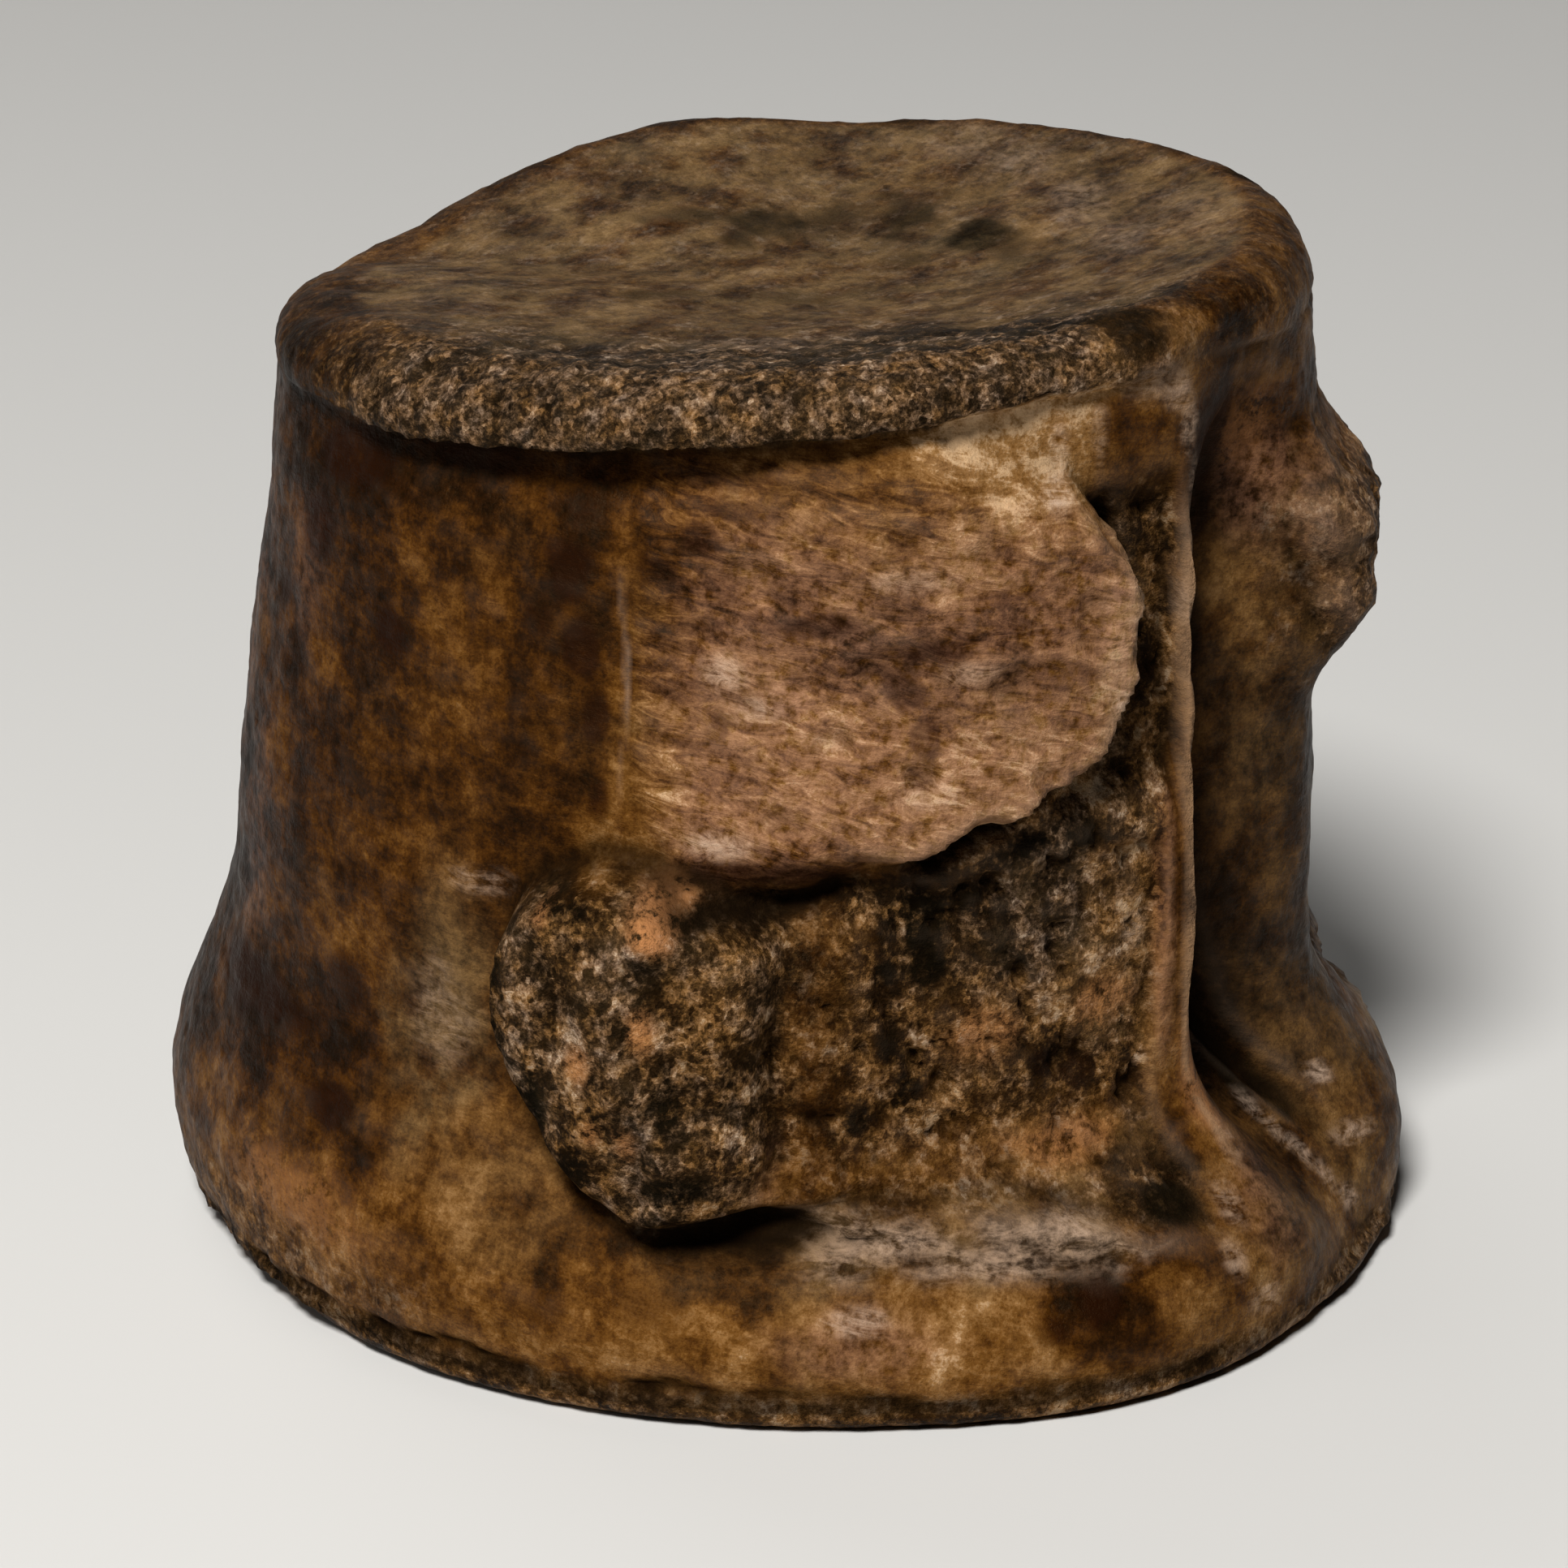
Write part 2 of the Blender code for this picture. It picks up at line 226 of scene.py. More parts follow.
# The plain surface as radius and height for each ring and column, from the middle of the foot to that of
# the top, and each ring's zone: 0 the dished underside, a power of the radius; 1 the flat ring that it rests
# on; 2 the rounded edge, a quarter circle; 3 the flank; 4 the lip, an arc; 5 the dished top, a power again.
def plainSurface(angle):
    foot = footOval(angle)[0]
    part = np.linspace(0, 1, drum["underRings"])[1:, None]
    rings = [(part * drum["footInner"] + 0 * angle, drum["footDish"] * (1 - part ** 2.2) + 0 * angle)]
    part = np.linspace(0, 1, drum["flatRings"] + 1)[1:, None]
    ringWidth = foot - drum["footFlat"] - drum["footInner"]
    rings.append((drum["footInner"] + ringWidth * part, 0 * part + 0 * angle))
    part = np.linspace(0, 1, drum["edgeRings"] + 1)[1:, None]
    edge = foot - drum["footFlat"] * (1 - np.sin(part * math.pi / 2)) + 0.12 * part
    rings.append((edge, drum["edgeHeight"] * (1 - np.cos(part * math.pi / 2)) + 0 * angle))
    lipHeight, overhang = lipEdge(angle)
    part = np.linspace(0, 1, drum["flankRings"] + 1)[1:, None]
    height = drum["edgeHeight"] + (lipHeight - 0.3 - drum["edgeHeight"]) * part
    rings.append((flankRadius(angle, height) - overhang * ease(0.9, 1, part), height))
    sweep = np.radians(np.linspace(*drum["lipSweep"], drum["lipRings"]))[:, None]
    width = turned(angle, *drum["lip"]) - drum["crestRadius"]
    rings.append((drum["crestRadius"] + width * np.cos(sweep),
                  lipHeight + 0.15 + (crestHeight(angle) - lipHeight - 0.15) * np.sin(sweep)))
    share = np.linspace(1, 0, drum["topRings"] + 1)[1:-1, None]
    floor = drum["crestHeight"] - drum["dishDepth"]
    dished = floor + (crestHeight(angle) - floor) * share ** 1.7
    rings.append((drum["crestRadius"] * share + 0 * angle, dished))
    radius = np.concatenate([ring[0] for ring in rings])
    height = np.concatenate([ring[1] for ring in rings])
    zones = np.concatenate([np.full(len(ring[0]), zone) for zone, ring in enumerate(rings)])
    return radius, height, zones


# Positions in millimetres from angle, radius and height: x is minus its sine, y minus its cosine.
def inSpace(angle, radius, height):
    around = np.radians(angle)
    return np.stack([-radius * np.sin(around), -radius * np.cos(around), height + 0 * angle], -1)


# Unit normals of a ring grid: the cross product of its steps round and up.
def gridNormals(points):
    across = np.roll(points, -1, axis=1) - np.roll(points, 1, axis=1)
    along = np.gradient(points, axis=0)
    normal = np.cross(along, across)
    return normal / np.maximum(np.linalg.norm(normal, axis=-1, keepdims=True), 1e-9)


# What stands out of the plain form, and what is sunk in it. Four numbers in one bracket under a name that
# ends in Run (heights) or Round (angles) are limits for within. Depths and reliefs are in millimetres.

marks = dict(
    # height, angle of its middle, half width in degrees
    canal=[(0, -12, 17), (3, -10, 15), (6, -3, 12), (9, 1.2, 7.6), (15, 2.0, 6.6), (18.5, 2.0, 6.6),
           (20.5, -1.5, 9), (22.5, -4, 13), (25, -5, 17)],
    canalFar=[(0, 16), (4, 20), (8, 24), (19, 24), (25, 14)],  # height, degrees that its far side reaches
    canalDepth=2.1, canalRun=(0.2, 5, 18.8, 24.0), canalRest=0.14, deepRun=(4, 7, 17.5, 20.5),
    ridge=0.3, ridgeAt=1.02, ridgeRun=(6, 10.5, 18.5, 21.2), ridgePaleRun=(3.5, 6.5, 18.5, 21.2),
    gully=[(3, -15), (4, -13.5), (5.5, -9.5), (7.5, -5.5), (10, -1)],  # height, angle
    gullyDepth=0.55, gullyHalf=3.2, gullyRun=(2.6, 4.6, 8.5, 11),
    # the plate's lower edge as angle and height, and its broken end as height and angle
    plateFoot=[(14, 19.0), (17, 17.0), (23, 14.9), (30, 14.1), (44, 13.3), (57, 12.6), (66, 12.6),
               (73, 13.8)],
    plateEnd=[(13.0, 40), (14.9, 23), (16.4, 18), (18.8, 16), (20.6, 20), (22.4, 27)],
    crease=73, plateHeight=(0.95, 0.5),  # the near plate and the far one
    slotDepth=0.75, slotRound=(12, 16, 40, 45), creviceDepth=0.45, creviceRound=(46, 54, 66, 72),
    recessDepth=0.5, recessRun=(13, 14.5, 20.2, 21.6), rubbleRun=(12.0, 12.8, 20.2, 21.6),
    swelling=1.5, swellingHeight=17.4, farHollow=0.38, farHollowRun=(5, 8.5, 15.5, 18.5),
    knobAt=(71.4, 8.5), knobRadius=15.25, knobSize=1.11,
    # direction from the knob's middle (0 is round the bone, 90 is up), reach in millimetres
    knobOutline=[(-20, 2.55), (8, 3.1), (28, 3.75), (41, 4.1), (55, 4.3), (68, 4.25), (90, 4.1),
                 (104, 3.95), (119, 3.95), (139, 4.35), (150, 3.75), (172, 3.0), (202, 3.2), (222, 3.9),
                 (237, 4.2), (252, 4.35), (265, 4.1), (278, 3.5), (300, 2.85), (320, 2.6)],
    nugget=(68.8, 11.9, 0.75, 0.38),  # angle, height, radius, how far it stands out
    # the place under the knob is sunk and also given a painted shadow
    underKnob=(61, 4.35, 10, 0.62), underKnobDepth=0.75,  # angle, height, half width round, half height
    saddle=0.8, saddleRound=(40, 57, 60, 66), saddleRun=(4.9, 5.4, 10.5, 12.6),
    seatDepth=0.3, seatTop=12.6,
    seatLow=[(12, 3.5), (20, 3.6), (26, 4.1), (31, 4.5), (39, 4.7), (46, 4.6), (53, 5.0), (60, 5.3)],
    ledgeRise=0.18, ledge=[(14, 3.3), (20, 3.4), (26, 3.9), (31, 4.3), (39, 4.5), (46, 4.4), (54, 4.6)],
    wrinkleRise=0.15, wrinkleSpacing=0.55,
    # angle, height, half width round, half height, depth
    chips=[(42.5, 15.2, 2.0, 0.55, 0.16), (46, 17.9, 4.5, 0.5, 0.14), (35, 20.4, 3.5, 0.5, 0.12),
           (60, 19.6, 5, 0.7, 0.12), (52, 16.0, 3, 0.5, 0.12), (24, 18.4, 2.2, 0.9, 0.14),
           (33, 17.2, 3, 0.45, 0.12), (62, 16.6, 3, 0.5, 0.1), (30, 14.9, 2, 0.4, 0.12),
           (57, 14.2, 3, 0.4, 0.1)],
    # degrees from the side it is clearest on, height, depth
    rimLine=[(0, 1.1, 0.22), (12, 1.05, 0.22), (28, 0.95, 0.2), (40, 0.8, 0.12), (70, 0.8, 0.05),
             (180, 0.8, 0.05)],
    rimLineSide=78, hairlineAt=74.2, hairlineRise=0.03,
    # millimetres in one degree round the bone, at the plate's end, the knob and the nugget
    endDegree=0.225, knobDegree=0.245, nuggetDegree=0.25,
)


# Groove down the back, in millimetres outwards, with its masks: full depth beside its near edge, where it
# drops steeply below a thin ridge, and rising slowly on the far side. A gully runs out of its foot.
def canalRelief(angle, height):
    middle = course(marks["canal"], height, 1.2, 1)
    halfWidth = course(marks["canal"], height, 1.2, 2)
    across = (angle - middle) / halfWidth  # 0 in the middle, 1 at the near edge
    fading = marks["canalRest"] + (1 - marks["canalRest"]) * within(height, marks["canalRun"])
    alongRidge = within(height, marks["ridgeRun"])
    steep = 0.55 * ease(0, 0.3, across) * alongRidge - 0.3 * ease(19.5, 21.5, height)
    nearPart = 1 - ease(0.1 + steep, 1.0, across)
    farPart = 1 - ease(0.5, course(marks["canalFar"], height, 1.2), middle - angle) ** 0.8
    groove = marks["canalDepth"] * fading * np.where(across > 0, nearPart, farPart)
    gully = hump(angle, course(marks["gully"], height, 1.0), marks["gullyHalf"])
    gully = gully * within(height, marks["gullyRun"])
    groove = groove + marks["gullyDepth"] * gully
    ridge = marks["ridge"] * hump(across, marks["ridgeAt"], 0.1) * alongRidge
    canalMask = np.where(across > 0, ease(1.12, 0.8, across), farPart) * fading
    ridgeMask = hump(across, marks["ridgeAt"], 0.09) * within(height, marks["ridgePaleRun"])
    # the last mask marks painted shade: the gully and the canal's floor just past the ridge
    deep = hump(across, -0.7, 0.8) * within(height, marks["deepRun"])
    return ridge - groove, canalMask, ridgeMask, across, np.maximum(gully, 0.7 * deep)


# The plate's signed distances in millimetres: inside its whole edge, its broken end and its lower edge.
def plateInside(side, height):
    end = marks["endDegree"] * (side - course(marks["plateEnd"], height, 0.4))
    foot = height - course(marks["plateFoot"], side, 1.5)
    return np.minimum(end, foot), end, foot


# Everything on the flank, in millimetres outwards, with a mask for each kind of surface: the forms are
# added up, and their places are moved a little by noise so that no edge runs true.
def flankRelief(angle, height, plain):
    flat = inSpace(angle, plain, height)
    near = angle >= 0
    side = np.where(near, angle, 2 - angle)  # the far side mirrors the near one
    loose = waver(flat, 1.9, 11) + 0.3 * waver(flat, 0.8, 12)
    sideLoose = side + 1.6 * loose
    heightLoose = height + 0.2 * (waver(flat, 1.8, 13) + 0.4 * waver(flat, 0.8, 14))

    groove, canalMask, ridgeMask, acrossCanal, gully = canalRelief(angle + 0.6 * waver(flat, 3.2, 15), height)

    # the plate, whose lower edge rolls under on its left and is broken off on its right
    inside, end, foot = plateInside(sideLoose, heightLoose)
    inside = inside + 0.13 * waver(flat, 0.5, 24)
    sharp = 0.6 * ease(-0.1, 0.12, inside) + 0.4 * ease(0.15, 0.4, inside + 0.25 * loose)
    shelf = sharp + (ease(-0.45, 0.75, inside) - sharp) * ease(42, 50, side)
    beforeCrease = 1 - ease(marks["crease"] - 1.6, marks["crease"] + 1.2, side + 1.8 * loose)
    topRun = 20.4 + 1.2 * ease(26, 44, side)
    plateMask = shelf * beforeCrease * (1 - ease(topRun - 0.6, topRun + 2.2, heightLoose))
    fading = 1 - 0.93 * ease(34, marks["crease"], side) ** 1.3
    nearPlate, farPlate = marks["plateHeight"]
    plate = plateMask * fading * np.where(near, nearPlate, farPlate * (1 - ease(18, 26, side)))
    slotRun = within(side, marks["slotRound"]) * near * (1 - ease(20.2, 21.3, heightLoose))
    slot = marks["slotDepth"] * hump(inside, -0.3, 0.42) * slotRun * ease(12.4, 13.0, height)
    crevice = marks["creviceDepth"] * hump(foot, -0.55, 0.45) * within(side, marks["creviceRound"])

    # broken bone between the plate's edge and the canal's ridge, which has a smooth strip beside it
    recess = marks["recessDepth"] * ease(-0.02, -0.3, end) * ease(1.05, 1.2, acrossCanal)
    recess = recess * within(heightLoose, marks["recessRun"]) * ease(30, 22, side) * near
    strip = 1.06 + 0.36 * ease(15.5, 12.5, height)
    rubble = ease(0.1, -0.15, inside) * ease(strip, strip + 0.1, acrossCanal)
    rubble = rubble * within(heightLoose, marks["rubbleRun"]) * (1 - ease(40, 46, side)) * near

    # the far side's swelling, and the hollow below it
    swelling = (1 - near) * ease(11, 26, side + 1.5 * loose) * (1 - ease(46, 70, side))
    swelling = swelling * (1 - ease(1.0, 3.9, np.abs(height - marks["swellingHeight"])))
    hollowed = marks["farHollow"] * hump(turnFrom(angle, -42), 0, 26) * within(height, marks["farHollowRun"])

    # the knob: a crown that falls from its middle to its outline, with a nugget on it and a moat under it
    knobAcross = marks["knobDegree"] * (side + 0.6 * loose - marks["knobAt"][0])
    knobAlong = heightLoose - marks["knobAt"][1]
    direction = np.degrees(np.arctan2(knobAlong, knobAcross))
    reach = marks["knobSize"] * course(marks["knobOutline"], direction, 7, 1, 360)
    away = np.hypot(knobAcross, knobAlong) / reach
    crown = marks["knobRadius"] - 0.2 * np.maximum(-knobAcross, 0) - 0.55 * away ** 2 - 0.5 * away ** 6
    crown = crown + 0.26 * crumple(flat, 2.2, 21, 3)
    knobMask = 1 - ease(0.86, 1.04, away)
    nuggetAngle, nuggetHeight, nuggetRadius, nuggetRise = marks["nugget"]
    nuggetAway = np.hypot((side - nuggetAngle) * marks["nuggetDegree"], height - nuggetHeight)
    knob = knobMask * np.maximum(crown - plain, 0) + nuggetRise * hump(nuggetAway, 0, nuggetRadius) * near
    # the dip under the knob, whose mask also places the painted shadow below the knob
    underAngle, underHeight, underAround, underUp = marks["underKnob"]
    underSlope = 0.02 * (underAngle - side)
    shade = np.hypot((side - underAngle) / underAround, (heightLoose - underHeight - underSlope) / underUp)
    moat = marks["underKnobDepth"] * (1 - ease(0.5, 1.25, shade))
    moat = moat + 0.2 * within(away, (0.96, 1.03, 1.03, 1.4)) * ease(-0.2, 1.5, knobAcross)

    # the arch's seat, the saddle between it and the knob, and the folds and ledge below it
    saddle = marks["saddle"] * within(side, marks["saddleRound"]) * within(heightLoose, marks["saddleRun"])
    saddle = saddle * (1 - knobMask)
    low, high = course(marks["seatLow"], side, 2), marks["seatTop"]
    seatMask = np.where(near, ease(strip, strip + 0.2, acrossCanal), ease(32, 44, side + 5 * loose))
    seatMask = seatMask * within(heightLoose, (low - 0.3, low + 0.3, high - 0.5, high + 0.3))
    seatMask = seatMask * (1 - ease(57, 62, sideLoose)) * (1 - knobMask)
    foldRun = np.where(near, ease(16, 24, side), ease(38, 46, side)) * (1 - ease(50, 60, side))
    folds = foldRun * ease(3.0, 3.7, heightLoose) * (1 - ease(low - 0.3, low + 0.1, height))
    folds = folds * ease(-0.8, 0.4, loose)
    ledgeLine = course(marks["ledge"], side, 2) + 0.1 * waver(flat, 2.0, 16)
    ledge = marks["ledgeRise"] * hump(height, ledgeLine, 0.3) * foldRun
    wrinkleLine = height + 0.8 * waver(flat, 2.6, 17) + 0.25 * waver(flat, 0.9, 25) + 0.03 * side
    wrinkle = marks["wrinkleRise"] * folds * np.sin(wrinkleLine * 2 * math.pi / marks["wrinkleSpacing"])
    wrinkle = wrinkle * ease(-0.7, 0.5, waver(flat, 1.6, 26))

    chips = 0
    for chipAngle, chipHeight, halfAround, halfUp, depth in marks["chips"]:
        spread = np.hypot((side + 1.2 * loose - chipAngle) / halfAround, (heightLoose - chipHeight) / halfUp)
        chips = chips + depth * (1 - ease(0.55, 1.1, spread))

    # the thin groove above the foot's edge, and the hairline down the plate's crease
    fromSide = np.abs(turnFrom(angle, marks["rimLineSide"]))
    rimLine = course(marks["rimLine"], fromSide, 4) + 0.14 * crumple(flat * np.array([1, 1, 0.2]), 4.0, 19, 3)
    rimGroove = course(marks["rimLine"], fromSide, 4, 2) * hump(heightLoose, rimLine, 0.24)
    rimGroove = rimGroove * ease(-0.5, 0.3, waver(flat, 2.2, 20))
    hairAngle = angle + 0.9 * waver(flat, 2.4, 18) + 0.3 * waver(flat, 0.7, 27)
    hairline = hump(hairAngle, marks["hairlineAt"], 0.6) * hump(height, 17.2, 4.5)
    hairline = hairline * ease(-0.5, 0.5, waver(flat, 1.5, 22))

    relief = groove + plate - slot - crevice - recess - hollowed + knob + saddle - moat
    relief = relief + marks["swelling"] * swelling * (1 + 0.12 * loose)
    relief = relief - marks["seatDepth"] * seatMask - chips * near + ledge + wrinkle
    relief = relief - rimGroove + marks["hairlineRise"] * hairline
    # Of these masks, shade, slot, recess, rimGroove and gully mark where painted shade goes: under the knob,
    # under the plate's edge and in the crevice above the knob, in the recess, in the groove above the foot
    # and in the canal.
    masks = dict(canal=canalMask, ridge=ridgeMask, plate=plateMask, knob=knobMask, seat=seatMask,
                 swelling=swelling, side=side, folds=folds, shade=1 - ease(0.6, 1.2, shade),
                 moat=ease(2.6, 1.0, shade) + ease(1.6, 1.1, away),
                 slot=np.maximum(hump(inside, -0.42, 0.5) * slotRun, np.clip(crevice / 0.4, 0, 1)),
                 recess=np.clip(recess * 2.2, 0, 1), gully=gully,
                 rimGroove=np.clip(rimGroove / 0.2, 0, 1), hairline=hairline, rubble=rubble)
    return relief, masks


# The sizes of grain, in millimetres, and how far each stands out

grains = dict(
    broad=(3.6, 0.1), middle=(1.3, 0.045), fine=(0.5, 0.016),
    lump=(1.1, 0.14), pebble=(0.46, 0.11), sponge=(0.8, 0.3), pinhole=(0.6, 0.16),
    fibre=(1.9, 0.42, 0.085), fibreSlant=0.05,  # length along and across, height; drop in a degree round
)


# Grain added along the normals, as a sum of noise layers: lumps and pores where the bone is spongy,
# streaks where it is fibrous.
def grainRelief(place, masks):
    def layer(name, seed, layers, gain=0.55):
        size, rise = grains[name]
        return rise * crumple(place, size, seed, layers, gain)

    relief = layer("broad", 31, 2) + layer("middle", 33, 3) + layer("fine", 36, 2)
    near, own = pebbles(place, grains["pebble"][0], 41)
    pebble = grains["pebble"][1] * (0.5 - near) * (0.5 + own)
    sponge = grains["sponge"][1] * ease(0.12, 0.62, crumple(place, grains["sponge"][0], 45, 3, 0.65))
    nearHole, ownHole = pebbles(place, grains["pinhole"][0], 47)
    hole = grains["pinhole"][1] * ease(0.34, 0.14, nearHole) * ease(0.72, 0.85, ownHole)
    along, across, fibreRise = grains["fibre"]
    slanted = place - np.array([0, 0, grains["fibreSlant"]]) * masks["side"][..., None]
    fibre = fibreRise * crumple(slanted / np.array([along, along, across]), 1.0, 51, 3)
    relief = relief + masks["spongy"] * (layer("lump", 38, 3, 0.7) + pebble) - masks["pitted"] * sponge
    return relief - (0.2 + 0.8 * masks["pitted"]) * hole + fibre * masks["fibrous"]


# The bone's tone in broad areas: 0 is dark brown, 0.5 amber tan, 1 cream. The last number
# is how grey it is. Further round than these areas, the far side takes them mirrored.

tonePlan = dict(
    plain=(0.33, 0.1),
    # angle, height, half width round in degrees, half height in millimetres, tone, grey
    flank=[(140, 13, 8, 9, 0.17, 0.05), (112, 21.3, 20, 1.2, 0.16, 0), (100, 17.2, 12, 2.6, 0.3, 0),
           (100, 12.2, 13, 3, 0.33, 0), (122, 13, 6, 5, 0.24, 0), (122, 6.9, 13, 1.2, 0.17, 0),
           (105, 6, 6, 1, 0.24, 0), (90, 16, 5, 1.6, 0.38, 0), (94.5, 9, 4, 2.4, 0.43, 0.65),
           (82, 20, 5, 2.2, 0.24, 0), (82, 14.5, 3, 2, 0.34, 0)],
    plate=[(68.5, 19.8, 5, 2.2, 0.38, 0), (70, 17, 3, 1, 0.46, 0), (66, 14.5, 6, 1.3, 0.64, 0),
           (55, 21, 9, 1.3, 0.54, 0.1), (60, 16.5, 5, 1, 0.61, 0.05), (46, 18.5, 9, 0.7, 0.4, 0),
           (50, 14.9, 9, 1.3, 0.66, 0), (38, 16.6, 3, 0.8, 0.54, 0.15), (33, 15, 7, 1, 0.74, 0.05),
           (31, 22.2, 7, 1.2, 0.84, 0.1), (38, 20.6, 4, 1, 0.64, 0.1), (27, 19, 4, 1.3, 0.56, 0.05),
           (19.5, 17.8, 2.6, 2.2, 0.78, 0.4), (60, 12.8, 6, 0.6, 0.3, 0)],
    # The canal's dark areas are partly painted shade on its floor.
    canal=[(14, 21.5, 3, 1.3, 0.34, 0.1), (11, 23.4, 5, 0.6, 0.52, 0.25), (11.3, 12, 2, 5, 0.5, 0.05),
           (9, 5.5, 3, 1.5, 0.5, 0.05), (2, 20, 5, 2.5, 0.2, 0), (2, 13.5, 6, 4, 0.24, 0.2),
           (-8, 7, 5, 3, 0.13, 0.2), (2.5, 6, 4, 2.4, 0.36, 0.15), (0, 2.5, 5, 1.1, 0.4, 0.3)],
    farWall=[(-13, 23.2, 6, 0.7, 0.46, 0.2), (-12, 21, 5, 1.2, 0.34, 0), (-16, 18, 7, 1.8, 0.44, 0.36),
             (-15, 11.5, 6, 4, 0.27, 0.42), (-18, 6.2, 5, 1.5, 0.3, 0.4), (-15, 3.2, 5, 1.1, 0.42, 0.4)],
    seat=[(53, 9.5, 4, 2.6, 0.34, 0), (40, 11, 4, 1.1, 0.18, 0.25), (45.5, 9, 2.5, 1, 0.23, 0.1),
          (35, 8.5, 4, 1, 0.43, 0.1), (28, 11.8, 4, 0.8, 0.3, 0.6), (20, 9.8, 3.4, 1.5, 0.56, 0.25),
          (25, 7, 5, 0.6, 0.34, 0.1), (37, 5.7, 14, 0.8, 0.46, 0), (16, 4.8, 3, 0.8, 0.24, 0.35)],
    foot=[(125, 3, 14, 1.4, 0.43, 0.05), (100, 2.7, 12, 1.4, 0.5, 0.03), (86, 4.5, 6, 1.2, 0.44, 0.2),
          (82, 2, 8, 1.1, 0.48, 0), (38, 4.1, 12, 0.6, 0.5, 0.5), (61, 3.5, 4, 0.7, 0.3, 0.2),
          (48, 1.9, 13, 1.1, 0.62, 0.08), (66, 2.1, 6, 0.8, 0.56, 0), (28, 2.7, 3, 0.7, 0.2, 0),
          (20, 2.4, 4, 0.9, 0.45, 0.1), (11, 1.8, 5, 1, 0.62, 0.25), (-6, 1.2, 9, 0.9, 0.54, 0.2)],
)


# Mean of the areas, each weighted by a bell of the distance from its middle, and small areas more than
# large ones.
def placedTone(angle, height):
    full = np.full(np.shape(angle), 1e-4)
    tone, grey = full * tonePlan["plain"][0], full * tonePlan["plain"][1]
    for area in ("flank", "plate", "canal", "farWall", "seat", "foot"):
        for middle, level, halfRound, halfUp, ownTone, ownGrey in tonePlan[area]:
            distance = ((angle - middle) / halfRound) ** 2 + ((height - level) / halfUp) ** 2
            weight = np.exp(-1.4 * distance) / (halfRound * halfUp)
            tone = tone + weight * ownTone
            grey = grey + weight * ownGrey
            full = full + weight
    return tone / full, grey / full
